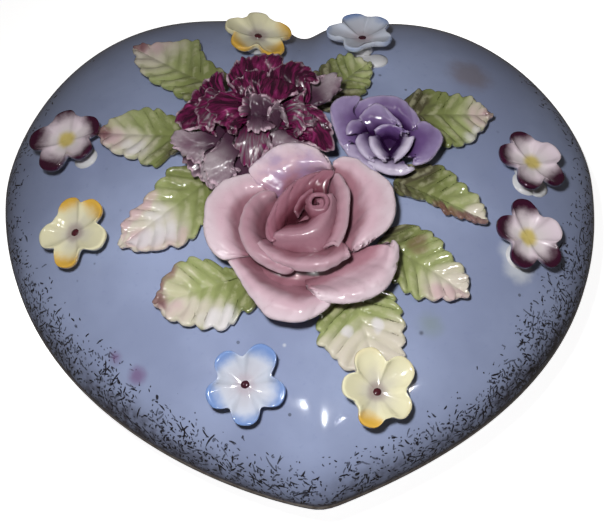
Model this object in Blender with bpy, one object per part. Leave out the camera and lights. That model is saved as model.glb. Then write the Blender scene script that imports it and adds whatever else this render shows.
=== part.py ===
"""Ceramic heart trinket box: a puffed heart lid with applied porcelain flowers, on a low heart dish.

Metres, +Z up. The tip of the heart points along -Y, the cleft along +Y. The origin is at the middle of the
footprint, on the surface that the box stands on. The lid lifts off; the flowers and leaves are stuck to it.
"""
import math
from bisect import bisect_right
from dataclasses import dataclass

import bmesh
import bpy
from mathutils import Vector
from mathutils.geometry import interpolate_bezier

MM = 0.001
CREASE_ANGLE = math.radians(42.0)

# Heart outline, seen from above. The dome's centre line is x = 0 and its widest line is y = 0.
HEART_WIDTH = 120.0 * MM
TIP_Y = -69.2 * MM
TIP_SHIFT = 2.6 * MM
TIP_SHIFT_POWER = 1.5
LOBE_Y = 41.1 * MM
LOBE_X = 20.4 * MM
CLEFT_Y = 35.8 * MM
CLEFT_SHIFT = 2.2 * MM
CLEFT_BLEND = 18.0 * MM
CORNER_SOFTENING = 1.9 * MM
TIP_HANDLE = 19.2 * MM
SIDE_HANDLE_BELOW = 46.2 * MM
SIDE_HANDLE_ABOVE = 12.1 * MM
LOBE_HANDLE_OUT = 27.7 * MM
LOBE_HANDLE_IN = 22.9 * MM
CLEFT_HANDLE = Vector((6.0 * MM, 1.0 * MM))
OUTLINE_SAMPLES = 480
RING_POINTS = 58
CORNER_ATTENTION = 10.0 * MM

# Lid
SEAT_GAP = 0.3 * MM
RIM_BAND = 2.4 * MM
RIM_ROUNDING = 0.4 * MM
DOME_RISE = 20.9 * MM
DOME_CENTRE_Y = -4.8 * MM
DOME_RADIAL_POWER = 2.09
DOME_HEIGHT_POWER = 1.81
DOME_OUTER_RINGS = 9
DOME_INNER_RINGS = 6
LID_WALL = 3.2 * MM
LIP_DEPTH = 3.0 * MM
LIP_WALL = 1.9 * MM
LIP_CLEARANCE = 0.5 * MM

# Base dish
BASE_HEIGHT = 20.0 * MM
BASE_WALL = 2.8 * MM
BASE_SETBACK = 0.3 * MM
BASE_TAPER = math.radians(25.0)
BASE_TURN = 4.5 * MM
BASE_TURN_REACH = 2.7 * MM
BASE_KNEE_INSET = 0.9 * MM
BASE_KNEE_HEIGHT = 2.7 * MM
INNER_TURN = 2.7 * MM
FLOOR_THICKNESS = 3.0 * MM
FOOT_HEIGHT = 1.4 * MM
FOOT_WIDTH = 4.0 * MM
FOOT_INSET = 2.5 * MM
FOOT_FLARE = 1.75 * MM

# Flowers in general
PETAL_GAP = 0.6 * MM
PETAL_SQUARENESS = 3
CROWDING_STEPS = 60

# Leaves
LEAF_THICKNESS = 1.1 * MM
LEAF_STATIONS = 13
LEAF_TOOTH = 0.07
LEAF_ROOT_PHASE = 0.12
LEAF_FULLNESS = 0.8
LEAF_TOOTH_LEAN = 0.4
LEAF_TIP_BLUNTNESS = 0.35
LEAF_STALK_CLEARANCE = 1.0 * MM

# Small flowers
SMALL_FLOWER_EDGE = 1.1 * MM
SMALL_FLOWER_EDGE_SLOPE = 0.33 * MM
SMALL_FLOWER_WELL = 0.42
SMALL_FLOWER_PAD = 1.9 * MM
SMALL_FLOWER_PAD_TOP = 2.5 * MM
SMALL_FLOWER_PAD_SINK = 0.5 * MM
SMALL_FLOWER_CUP = 1.0 * MM
SMALL_FLOWER_EYE_DEPTH = 0.5 * MM
SMALL_FLOWER_NOTCH = 0.62
SMALL_FLOWER_SHOULDER = 0.95
SMALL_FLOWER_SHOULDER_TURN = 0.26


@dataclass(frozen=True)
class HeartHalf:
    """What differs between the two hand-finished halves of the outline."""
    tip_angle: float
    lobe_rise: float
    lobe_reach: float


@dataclass(frozen=True)
class Spot:
    """A place on the lid: bearing from the dome's centre, and the share of the way out to the rim."""
    bearing: float
    share: float


@dataclass(frozen=True)
class Whorl:
    """The petals of one layer: the bearings of their sides, and how much each is longer and raised."""
    sides: tuple
    longer: tuple = ()
    raised: tuple = ()


@dataclass(frozen=True)
class Row:
    """One ring of a flower's section, counted from its stalk out over the petals and in to its middle."""
    reach: float
    height: float
    whorl: Whorl = None
    notch: float = 0.0
    dip: float = 0.0
    overlap: float = 0.0
    frill: float = 0.0
    shift: Vector = Vector((0.0, 0.0))


@dataclass(frozen=True)
class Bloom:
    """A many-petalled flower: where it sits, how it leans, its stalk and the rows of its section."""
    name: str
    spot: Spot
    lean: Vector
    stalk: float
    columns: int
    rows: tuple
    middle: Vector


@dataclass(frozen=True)
class Leaf:
    """A toothed leaf: the place of its tip, the way it points, and its sizes."""
    name: str
    tip: Spot
    heading: float
    length: float
    half_width: float
    tip_lift: float
    edge_lift: float


@dataclass(frozen=True)
class Petal:
    """One petal of a small flower: its bearing in degrees and how far it reaches."""
    bearing: float
    reach: float


@dataclass(frozen=True)
class SmallFlower:
    """A few-petalled flower on a pad: its place, how it leans and how far it stands off the lid."""
    name: str
    glaze: str
    spot: Spot
    lean: Vector
    stand: float
    petals: tuple


HALVES = (
    HeartHalf(tip_angle=math.radians(69.3), lobe_rise=-1.05 * MM, lobe_reach=-1.1 * MM),
    HeartHalf(tip_angle=math.radians(78.7), lobe_rise=1.05 * MM, lobe_reach=1.1 * MM),
)

# Finishes, as linear base colour and roughness
GLAZES = {
    "box_glaze": ((0.25, 0.29, 0.46), 0.12),
    "lid_glaze": ((0.27, 0.31, 0.49), 0.10),
    "rose_glaze": ((0.62, 0.33, 0.39), 0.18),
    "carnation_glaze": ((0.19, 0.03, 0.10), 0.22),
    "violet_glaze": ((0.17, 0.10, 0.29), 0.20),
    "leaf_glaze": ((0.36, 0.42, 0.16), 0.16),
    "yellow_glaze": ((0.75, 0.66, 0.30), 0.14),
    "blue_glaze": ((0.50, 0.60, 0.80), 0.14),
    "burgundy_glaze": ((0.55, 0.40, 0.46), 0.14),
}


def clear_scene():
    """Remove every object that is already in the scene."""
    for thing in list(bpy.data.objects):
        bpy.data.objects.remove(thing, do_unlink=True)


def make_glazes():
    """Make one glazed ceramic material for each finish, by name."""
    glazes = {}
    for name, (colour, roughness) in GLAZES.items():
        material = bpy.data.materials.new(name)
        material.use_nodes = True
        shader = material.node_tree.nodes["Principled BSDF"]
        shader.inputs["Base Color"].default_value = (*colour, 1.0)
        shader.inputs["Roughness"].default_value = roughness
        shader.inputs["Metallic"].default_value = 0.0
        material.diffuse_color = (*colour, 1.0)
        glazes[name] = material
    return glazes


def add_object(name, bm, glaze, parent=None, location=(0.0, 0.0, 0.0)):
    """Turn a bmesh whose points are relative to the location into a named, smooth-shaded object."""
    bmesh.ops.recalc_face_normals(bm, faces=bm.faces)
    mesh = bpy.data.meshes.new(name)
    bm.to_mesh(mesh)
    bm.free()
    for face in mesh.polygons:
        face.use_smooth = True
    mesh.set_sharp_from_angle(angle=CREASE_ANGLE)
    mesh.materials.append(glaze)
    thing = bpy.data.objects.new(name, mesh)
    bpy.context.scene.collection.objects.link(thing)
    thing.parent = parent
    thing.location = location
    return thing


def loft(stages):
    """Close a body through its stages in order. A stage is a ring of points, or one point at either end."""
    bm = bmesh.new()
    made = []
    for stage in stages:
        points = stage if isinstance(stage, list) else [stage]
        made.append([bm.verts.new(point) for point in points])
    for near, far in zip(made, made[1:]):
        count = max(len(near), len(far))
        for i in range(count):
            j = (i + 1) % count
            if len(near) == 1:
                bm.faces.new((near[0], far[i], far[j]))
            elif len(far) == 1:
                bm.faces.new((near[i], far[0], near[j]))
            else:
                bm.faces.new((near[i], far[i], far[j], near[j]))
    return bm


def bezier(start, start_handle, end_handle, end):
    """Sample one curve stretch, without its last point."""
    stretch = interpolate_bezier(start, start + start_handle, end + end_handle, end, OUTLINE_SAMPLES // 4)
    return [point.to_2d() for point in stretch[:-1]]


def heart_half(half):
    """Points of one side of the heart on the +X side, from the tip to just before the cleft."""
    tip = Vector((0.0, TIP_Y))
    widest = Vector((HEART_WIDTH / 2, 0.0))
    lobe = Vector((LOBE_X, LOBE_Y + half.lobe_rise))
    cleft = Vector((0.0, CLEFT_Y))
    tip_way = Vector((math.sin(half.tip_angle), math.cos(half.tip_angle)))
    points = bezier(tip, tip_way * TIP_HANDLE, Vector((0.0, -SIDE_HANDLE_BELOW)), widest)
    points += bezier(widest, Vector((0.0, SIDE_HANDLE_ABOVE)),
                     Vector((LOBE_HANDLE_OUT + half.lobe_reach, 0.0)), lobe)
    points += bezier(lobe, Vector((-LOBE_HANDLE_IN, 0.0)), CLEFT_HANDLE, cleft)
    return points


def evenly_spaced(points, count):
    """Resample a closed outline at equal steps along its length, starting from its first point."""
    lengths = [(b - a).length for a, b in zip(points, points[1:] + points[:1])]
    step = sum(lengths) / count
    result = []
    walked = 0.0
    for point, following, length in zip(points, points[1:] + points[:1], lengths):
        while len(result) < count and len(result) * step < walked + length:
            result.append(point.lerp(following, (len(result) * step - walked) / length))
        walked += length
    return result


def softened(points, radius):
    """Round the corners of a closed, evenly spaced outline over about the given radius."""
    spacing = (points[1] - points[0]).length
    passes = round(2 * (radius / spacing) ** 2)
    for _ in range(passes):
        points = [(before + 2 * here + after) / 4
                  for before, here, after in zip(points[-1:] + points[:-1], points, points[1:] + points[:1])]
    return points


def heart_outline():
    """The closed heart outline, counter-clockwise from the tip, with its soft tip and cleft."""
    right, left = (heart_half(half) for half in HALVES)
    cleft = Vector((0.0, CLEFT_Y))
    mirrored = [Vector((-point.x, point.y)) for point in left[:0:-1]]
    points = right + [cleft] + mirrored
    for point in points:
        below = max(0.0, point.y / TIP_Y)
        above = min(1.0, max(0.0, point.y / CLEFT_Y)) * math.exp(-(point.x / CLEFT_BLEND) ** 2)
        point.x += TIP_SHIFT * below ** TIP_SHIFT_POWER + CLEFT_SHIFT * above
    return softened(evenly_spaced(points, OUTLINE_SAMPLES), CORNER_SOFTENING)


def centred(outline):
    """The outline moved so that its bounding box is centred on the origin, and the move that did it."""
    middle = Vector((
        (max(point.x for point in outline) + min(point.x for point in outline)) / 2,
        (max(point.y for point in outline) + min(point.y for point in outline)) / 2,
    ))
    return [point - middle for point in outline], -middle


def ring_outline(outline):
    """Fewer points of the outline for the solids' rings, closer together where it turns sharply."""
    count = len(outline)
    weights = []
    for i, here in enumerate(outline):
        ahead = outline[(i + 1) % count] - here
        turn = abs((here - outline[i - 1]).angle_signed(ahead))
        weights.append(ahead.length + CORNER_ATTENTION * turn)
    step = sum(weights) / RING_POINTS
    chosen = []
    walked = 0.0
    for point, weight in zip(outline, weights):
        if len(chosen) < RING_POINTS and walked >= (len(chosen) - 0.01) * step:
            chosen.append(point)
        walked += weight
    return chosen


def inset_ring(ring, centre, inset, height):
    """The ring drawn in toward the centre by a fixed distance, at a height."""
    result = []
    for point in ring:
        spoke = point - centre
        pulled = centre + spoke * (1 - inset / spoke.length)
        result.append(pulled.to_3d() + Vector((0.0, 0.0, height)))
    return result


class Dome:
    """The lid's outer surface: a height over every point of the heart's plan, above the lid's seat."""

    def __init__(self, outline, centre):
        self.centre = centre
        self.spring = RIM_BAND
        spokes = sorted((self.angle_of(point), (point - centre).length) for point in outline)
        self.angles = [angle for angle, _ in spokes]
        self.lengths = [length for _, length in spokes]

    def angle_of(self, point):
        """Bearing of a plan point from the dome's centre, from 0 to a full turn."""
        return math.atan2(point.y - self.centre.y, point.x - self.centre.x) % math.tau

    def spoke_length(self, angle):
        """Distance from the centre to the rim along a bearing."""
        angle %= math.tau
        after = bisect_right(self.angles, angle) % len(self.angles)
        before = after - 1
        gap = (self.angles[after] - self.angles[before]) % math.tau
        share = ((angle - self.angles[before]) % math.tau) / gap
        return self.lengths[before] + (self.lengths[after] - self.lengths[before]) * share

    def height(self, x, y):
        """Height of the dome over a plan point."""
        point = Vector((x, y))
        share = min(1.0, (point - self.centre).length / self.spoke_length(self.angle_of(point)))
        bulge = (1 - share ** DOME_RADIAL_POWER) ** (1 / DOME_HEIGHT_POWER)
        return self.spring + DOME_RISE * bulge

    def normal(self, x, y):
        """Outward direction of the dome over a plan point."""
        step = 0.1 * MM
        slope_x = (self.height(x + step, y) - self.height(x - step, y)) / (2 * step)
        slope_y = (self.height(x, y + step) - self.height(x, y - step)) / (2 * step)
        return Vector((-slope_x, -slope_y, 1.0)).normalized()

    def place(self, x, y, lift):
        """The point at a distance off the dome over a plan point."""
        return Vector((x, y, self.height(x, y))) + self.normal(x, y) * lift

    def plan(self, spot):
        """Plan point of a spot."""
        angle = math.radians(spot.bearing)
        spoke = Vector((math.cos(angle), math.sin(angle)))
        return self.centre + spoke * (self.spoke_length(angle) * spot.share)

    def rings(self, ring, inset, rise, steps):
        """Rings of a dome of the same form, from the rim up, and its top point, inside the outer one."""
        rim = inset_ring(ring, self.centre, inset, self.spring)
        middle = self.centre.to_3d() + Vector((0.0, 0.0, self.spring))
        stages = []
        for i in range(1, steps + 1):
            turn = math.pi / 2 * i / (steps + 1)
            share = math.cos(turn) ** (2 / DOME_RADIAL_POWER)
            lift = Vector((0.0, 0.0, rise * math.sin(turn) ** (2 / DOME_HEIGHT_POWER)))
            stages.append([middle + (point - middle) * share + lift for point in rim])
        return stages + [middle + Vector((0.0, 0.0, rise))]


def base_wall_inset(depth):
    """How far the dish's outer wall has drawn in at a depth below its rim."""
    return BASE_SETBACK + depth * math.tan(BASE_TAPER)


def add_base(ring, centre, glaze):
    """The heart dish: foot rim, tapering wall of even thickness, flat land for the lid, open inside."""
    turn_inset = base_wall_inset(BASE_HEIGHT - BASE_TURN)
    foot_outer = turn_inset + BASE_TURN_REACH + FOOT_INSET
    foot_inner = foot_outer + FOOT_WIDTH
    floor = FOOT_HEIGHT + FLOOR_THICKNESS
    middle_depth = (BASE_HEIGHT - BASE_TURN) / 2
    inner_turn = floor + INNER_TURN
    inner_turn_inset = base_wall_inset(BASE_HEIGHT - inner_turn) + BASE_WALL
    profile = (
        (foot_inner, FOOT_HEIGHT),
        (foot_inner, 0.0),
        (foot_outer, 0.0),
        (foot_outer - FOOT_FLARE, FOOT_HEIGHT),
        (turn_inset + BASE_KNEE_INSET, BASE_KNEE_HEIGHT),
        (turn_inset, BASE_TURN),
        (base_wall_inset(middle_depth), BASE_HEIGHT - middle_depth),
        (base_wall_inset(0.0), BASE_HEIGHT - RIM_ROUNDING),
        (base_wall_inset(0.0) + RIM_ROUNDING, BASE_HEIGHT),
        (base_wall_inset(0.0) + BASE_WALL, BASE_HEIGHT),
        (inner_turn_inset, inner_turn),
        (inner_turn_inset + INNER_TURN, floor),
    )
    underside = centre.to_3d() + Vector((0.0, 0.0, FOOT_HEIGHT))
    inside = centre.to_3d() + Vector((0.0, 0.0, floor))
    stages = [underside] + [inset_ring(ring, centre, inset, height) for inset, height in profile] + [inside]
    return add_object("box_base", loft(stages), glaze)


def add_lid(ring, dome, glaze, seat_height):
    """The puffed hollow lid: a rim band, a flat seat and a lip that drops into the dish."""
    seat_inset = base_wall_inset(0.0) + BASE_WALL + LIP_CLEARANCE
    lip_inset = base_wall_inset(LIP_DEPTH) + BASE_WALL + LIP_CLEARANCE
    lid_dome = dome.rings(ring, 0.0, DOME_RISE, DOME_OUTER_RINGS)
    ceiling = dome.rings(ring, LID_WALL, DOME_RISE - LID_WALL, DOME_INNER_RINGS)
    profile = (
        (0.0, dome.spring),
        (0.0, RIM_ROUNDING),
        (RIM_ROUNDING, 0.0),
        (seat_inset, 0.0),
        (lip_inset, -LIP_DEPTH),
        (lip_inset + LIP_WALL, -LIP_DEPTH),
        (seat_inset + LIP_WALL, 0.0),
    )
    skirt = [inset_ring(ring, dome.centre, inset, height) for inset, height in profile]
    stages = lid_dome[::-1] + skirt + ceiling
    return add_object("lid", loft(stages), glaze, location=(0.0, 0.0, seat_height))


def leaning_frame(normal, lean):
    """Axes of a piece that leans off the lid's normal: to its right, to its back and outward."""
    outward = (normal + lean.to_3d()).normalized()
    right = Vector((0.0, 1.0, 0.0)).cross(outward).normalized()
    return right, outward.cross(right), outward


def evenly(count, first):
    """A whorl of equal petals, from the bearing of one side."""
    return Whorl(tuple(sorted((first + 360.0 * i / count) % 360.0 for i in range(count))))


def petal_at(whorl, bearing):
    """Which petal a bearing falls on, and where across it: -0.5 and 0.5 at its sides, 0 in its middle."""
    after = bisect_right(whorl.sides, bearing) % len(whorl.sides)
    start = whorl.sides[after - 1]
    spread = (whorl.sides[after] - start) % 360.0
    return (after - 1) % len(whorl.sides), ((bearing - start) % 360.0) / spread - 0.5


def row_point(row, bearing):
    """Distance from the row's middle, and height, along a bearing in degrees."""
    if row.whorl is None:
        return row.reach, row.height
    petal, phase = petal_at(row.whorl, bearing % 360.0)
    side = abs(2 * phase) ** PETAL_SQUARENESS
    reach = row.reach - row.notch * side + row.overlap * phase
    height = row.height - row.dip * side
    if row.whorl.longer:
        reach += row.whorl.longer[petal] * (1 - side)
        height += row.whorl.raised[petal] * (1 - side)
    return reach, height


def outer_reach(bloom, bearing):
    """How far the flower's widest row reaches along a bearing in degrees."""
    widest = max(bloom.rows, key=lambda row: row.reach)
    return row_point(widest, bearing)[0] + widest.frill


def crowded_share(bloom, bearing, centre, neighbours):
    """The share of its petals' length that a flower keeps along a bearing to clear its neighbours."""
    reach = outer_reach(bloom, bearing)
    way = Vector((math.cos(math.radians(bearing)), math.sin(math.radians(bearing))))
    share = 1.0
    for other, other_centre in neighbours:
        for i in range(CROWDING_STEPS, 0, -1):
            length = bloom.stalk + (reach - bloom.stalk) * share
            offset = centre + way * length - other_centre
            limit = outer_reach(other, math.degrees(math.atan2(offset.y, offset.x))) + PETAL_GAP
            if offset.length >= limit:
                break
            share = (i - 1) / CROWDING_STEPS
    return share


def add_bloom(bloom, dome, glaze, lid, neighbours):
    """A many-petalled flower as one closed body, drawn in where its neighbours crowd it."""
    centre = dome.plan(bloom.spot)
    foot = dome.place(centre.x, centre.y, SEAT_GAP)
    right, back, outward = leaning_frame(dome.normal(centre.x, centre.y), bloom.lean)
    bearings = [360.0 * i / bloom.columns for i in range(bloom.columns)]
    shares = [crowded_share(bloom, bearing, centre, neighbours) for bearing in bearings]
    stages = [Vector((0.0, 0.0, 0.0))]
    for row in bloom.rows:
        ring = []
        for i, (bearing, share) in enumerate(zip(bearings, shares)):
            reach, height = row_point(row, bearing)
            reach += row.frill if i % 2 else -row.frill
            if reach > bloom.stalk:
                reach = bloom.stalk + (reach - bloom.stalk) * share
            across = reach * math.cos(math.radians(bearing)) + row.shift.x
            along = reach * math.sin(math.radians(bearing)) + row.shift.y
            ring.append(right * across + back * along + outward * height)
        stages.append(ring)
    stages.append(right * bloom.middle.x + back * bloom.middle.y + outward * bloom.middle.z)
    return add_object(bloom.name, loft(stages), glaze, parent=lid, location=foot)


def leaf_width(share):
    """Half width of a leaf as a share of its widest, from root (0) to tip (1)."""
    return math.sin(math.pi * (LEAF_ROOT_PHASE + (1 - LEAF_ROOT_PHASE) * share)) ** LEAF_FULLNESS


def clear_length(leaf, tip, way, stalks):
    """The leaf's length, cut short where its root would come too near a flower's stalk."""
    length = leaf.length
    root_width = leaf.half_width * leaf_width(0.0)
    for centre, radius in stalks:
        offset = centre - tip
        along = -offset.dot(way)
        beside = abs(offset.x * way.y - offset.y * way.x)
        keep_out = radius + root_width / 2 + LEAF_STALK_CLEARANCE
        if beside < keep_out:
            length = min(length, along - math.sqrt(keep_out ** 2 - beside ** 2))
    return length


def add_leaf(leaf, dome, glaze, lid, stalks):
    """A thin toothed leaf that follows the lid, folded along its midrib, with its tip off the surface."""
    tip = dome.plan(leaf.tip)
    way = Vector((math.cos(math.radians(leaf.heading)), math.sin(math.radians(leaf.heading))))
    beside = Vector((-way.y, way.x))
    length = clear_length(leaf, tip, way, stalks)
    root = tip - way * length
    origin = dome.place(root.x, root.y, 0.0)
    spacing = 1 / (LEAF_STATIONS - 1)
    stages = []
    for i in range(LEAF_STATIONS):
        share = i * spacing
        tooth = LEAF_TOOTH if i % 2 else -LEAF_TOOTH
        width = leaf.half_width * leaf_width(min(share, 1 - spacing * LEAF_TIP_BLUNTNESS)) * (1 + tooth)
        forward = length * spacing * LEAF_TOOTH_LEAN * (i % 2)
        lift = leaf.tip_lift * share ** 2
        corners = []
        for side, level in ((-1, 0.0), (0, 0.0), (1, 0.0), (1, 1.0), (0, 1.0), (-1, 1.0)):
            plan = root + way * (length * share + forward * abs(side)) + beside * (side * width)
            height = SEAT_GAP + lift + leaf.edge_lift * abs(side) + LEAF_THICKNESS * level
            corners.append(dome.place(plan.x, plan.y, height) - origin)
        stages.append(corners)
    bm = loft(stages)
    bm.verts.ensure_lookup_table()
    count = len(bm.verts)
    for corners in (range(6), range(count - 6, count)):
        verts = [bm.verts[i] for i in corners]
        bm.faces.new(verts[:2] + verts[4:])
        bm.faces.new(verts[1:5])
    return add_object(leaf.name, bm, glaze, parent=lid, location=origin)


def petal_outline(petals):
    """Columns round a small flower, as bearing and reach: notch, shoulder, tip and shoulder a petal."""
    columns = []
    for before, petal in zip(petals[-1:] + petals[:-1], petals):
        gap = (petal.bearing - before.bearing) % 360.0
        columns.append((petal.bearing - gap / 2, (before.reach + petal.reach) / 2 * SMALL_FLOWER_NOTCH))
        shoulder = 360.0 / len(petals) * SMALL_FLOWER_SHOULDER_TURN
        shoulder_reach = petal.reach * SMALL_FLOWER_SHOULDER
        columns.append((petal.bearing - shoulder, shoulder_reach))
        columns.append((petal.bearing, petal.reach))
        columns.append((petal.bearing + shoulder, shoulder_reach))
    return columns


def add_small_flower(flower, dome, glaze, lid):
    """A cupped flower on its pad, as one closed body."""
    centre = dome.plan(flower.spot)
    normal = dome.normal(centre.x, centre.y)
    foot = dome.place(centre.x, centre.y, SEAT_GAP)
    columns = petal_outline(flower.petals)
    still = Vector((0.0, 0.0, 0.0))
    lift = normal * flower.stand
    flat = leaning_frame(normal, Vector((0.0, 0.0)))
    tilted = leaning_frame(normal, flower.lean)

    def ring(frame, base, height, reaches):
        right, back, outward = frame
        points = []
        for (bearing, _), reach in zip(columns, reaches):
            angle = math.radians(bearing)
            way = right * math.cos(angle) + back * math.sin(angle)
            points.append(base + way * reach + outward * height)
        return points

    full = [reach for _, reach in columns]
    edge = SMALL_FLOWER_EDGE
    cup = SMALL_FLOWER_CUP
    stages = [
        still,
        ring(flat, still, 0.0, [SMALL_FLOWER_PAD] * len(columns)),
        ring(flat, lift, -SMALL_FLOWER_PAD_SINK, [SMALL_FLOWER_PAD_TOP] * len(columns)),
        ring(tilted, lift, cup, full),
        ring(tilted, lift, cup + edge, [reach - SMALL_FLOWER_EDGE_SLOPE for reach in full]),
        ring(tilted, lift, edge, [reach * SMALL_FLOWER_WELL for reach in full]),
        lift + tilted[2] * (edge - SMALL_FLOWER_EYE_DEPTH),
    ]
    return add_object(flower.name, loft(stages), glaze, parent=lid, location=foot)


ROSE_PETALS = Whorl(
    sides=(63.0, 129.0, 206.0, 279.0, 342.0),
    longer=(-1.1 * MM, -0.4 * MM, -1.0 * MM, -0.4 * MM, 0.4 * MM),
    raised=(2.4 * MM, 0.6 * MM, -0.4 * MM, -0.2 * MM, 0.8 * MM),
)
ROSE_BOWL = Whorl((20.0, 118.0, 200.0, 300.0))
ROSE_BOWL_SHIFT = Vector((-1.0 * MM, 1.5 * MM))
ROSE_CUP_SHIFT = Vector((0.2 * MM, 2.1 * MM))
ROSE_BUD_SHIFT = Vector((2.2 * MM, 3.0 * MM))

ROSE = Bloom(
    name="rose", spot=Spot(270.1, 0.327), lean=Vector((0.0, 0.0)), stalk=6.5 * MM, columns=40,
    rows=(
        Row(6.5 * MM, 0.0),
        Row(7.4 * MM, 3.2 * MM),
        Row(17.8 * MM, 5.2 * MM, ROSE_PETALS, notch=2.6 * MM, overlap=0.6 * MM),
        Row(18.6 * MM, 6.2 * MM, ROSE_PETALS, notch=2.8 * MM, overlap=0.6 * MM),
        Row(17.4 * MM, 7.1 * MM, ROSE_PETALS, notch=2.8 * MM, dip=0.4 * MM, overlap=0.6 * MM),
        Row(11.0 * MM, 6.0 * MM, shift=ROSE_BOWL_SHIFT * 0.5),
        Row(11.1 * MM, 10.2 * MM, ROSE_BOWL, notch=0.7 * MM, dip=1.0 * MM, overlap=1.0 * MM,
            shift=ROSE_BOWL_SHIFT),
        Row(10.1 * MM, 10.9 * MM, ROSE_BOWL, notch=0.7 * MM, dip=1.0 * MM, overlap=1.0 * MM,
            shift=ROSE_BOWL_SHIFT),
        Row(7.7 * MM, 8.4 * MM, shift=ROSE_CUP_SHIFT * 0.6),
        Row(7.6 * MM, 12.4 * MM, evenly(3, 75.0), notch=0.6 * MM, dip=0.8 * MM, overlap=1.2 * MM,
            shift=ROSE_CUP_SHIFT),
        Row(6.6 * MM, 12.9 * MM, evenly(3, 75.0), notch=0.6 * MM, dip=0.8 * MM, overlap=1.2 * MM,
            shift=ROSE_CUP_SHIFT),
        Row(4.7 * MM, 10.2 * MM, shift=(ROSE_CUP_SHIFT + ROSE_BUD_SHIFT) / 2),
        Row(3.9 * MM, 13.8 * MM, evenly(2, 30.0), dip=0.5 * MM, overlap=0.8 * MM, shift=ROSE_BUD_SHIFT),
        Row(3.0 * MM, 14.1 * MM, evenly(2, 30.0), dip=0.5 * MM, overlap=0.8 * MM, shift=ROSE_BUD_SHIFT),
        Row(1.8 * MM, 12.4 * MM, shift=ROSE_BUD_SHIFT),
    ),
    middle=Vector((*ROSE_BUD_SHIFT, 13.9 * MM)),
)

VIOLET_CUP_SHIFT = Vector((0.1 * MM, -1.7 * MM))

VIOLET_ROSE = Bloom(
    name="violet_rose", spot=Spot(3.2, 0.275), lean=Vector((0.0, -0.04)), stalk=4.2 * MM, columns=30,
    rows=(
        Row(4.2 * MM, 0.0),
        Row(4.9 * MM, 3.1 * MM),
        Row(10.4 * MM, 4.1 * MM, evenly(5, 60.0), notch=1.6 * MM, overlap=0.6 * MM),
        Row(10.2 * MM, 5.1 * MM, evenly(5, 60.0), notch=1.7 * MM, overlap=0.6 * MM),
        Row(6.2 * MM, 4.6 * MM, shift=VIOLET_CUP_SHIFT * 0.5),
        Row(6.6 * MM, 7.4 * MM, evenly(4, 20.0), notch=0.8 * MM, dip=0.8 * MM, overlap=0.8 * MM,
            shift=VIOLET_CUP_SHIFT),
        Row(5.7 * MM, 7.8 * MM, evenly(4, 20.0), notch=0.8 * MM, dip=0.8 * MM, overlap=0.8 * MM,
            shift=VIOLET_CUP_SHIFT),
        Row(3.7 * MM, 5.8 * MM, shift=VIOLET_CUP_SHIFT),
        Row(2.9 * MM, 8.3 * MM, evenly(3, 50.0), dip=0.5 * MM, overlap=0.5 * MM, shift=VIOLET_CUP_SHIFT),
    ),
    middle=Vector((*VIOLET_CUP_SHIFT, 7.3 * MM)),
)

CARNATION_SKIRT = Whorl(
    sides=(12.0, 66.0, 120.0, 172.0, 222.0, 268.0, 318.0),
    longer=(2.4 * MM, 0.6 * MM, -2.0 * MM, 0.0, 2.0 * MM, 0.0, 2.0 * MM),
    raised=(1.4 * MM, 1.6 * MM, 1.4 * MM, 0.0, -0.8 * MM, 0.0, 0.6 * MM),
)

CARNATION = Bloom(
    name="carnation", spot=Spot(154.5, 0.157), lean=Vector((0.0, 0.03)), stalk=5.6 * MM, columns=44,
    rows=(
        Row(5.6 * MM, 0.0),
        Row(6.5 * MM, 3.2 * MM),
        Row(15.8 * MM, 4.6 * MM, CARNATION_SKIRT, notch=1.8 * MM, overlap=0.8 * MM, frill=0.3 * MM),
        Row(15.4 * MM, 5.6 * MM, CARNATION_SKIRT, notch=1.8 * MM, overlap=0.8 * MM, frill=0.3 * MM),
        Row(11.4 * MM, 5.4 * MM),
        Row(13.0 * MM, 9.4 * MM, evenly(6, 40.0), notch=1.2 * MM, dip=0.8 * MM, overlap=0.9 * MM,
            frill=0.5 * MM),
        Row(12.2 * MM, 9.9 * MM, evenly(6, 40.0), notch=1.2 * MM, dip=0.8 * MM, overlap=0.9 * MM,
            frill=0.5 * MM),
        Row(8.4 * MM, 7.6 * MM),
        Row(8.8 * MM, 11.6 * MM, evenly(5, 10.0), notch=0.9 * MM, dip=0.9 * MM, overlap=0.8 * MM,
            frill=0.4 * MM),
        Row(7.9 * MM, 11.9 * MM, evenly(5, 10.0), notch=0.9 * MM, dip=0.9 * MM, overlap=0.8 * MM,
            frill=0.4 * MM),
        Row(4.9 * MM, 9.6 * MM),
        Row(3.6 * MM, 12.4 * MM, evenly(3, 80.0), notch=0.5 * MM, dip=0.6 * MM, frill=0.3 * MM),
    ),
    middle=Vector((0.0, 0.0, 11.0 * MM)),
)

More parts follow.
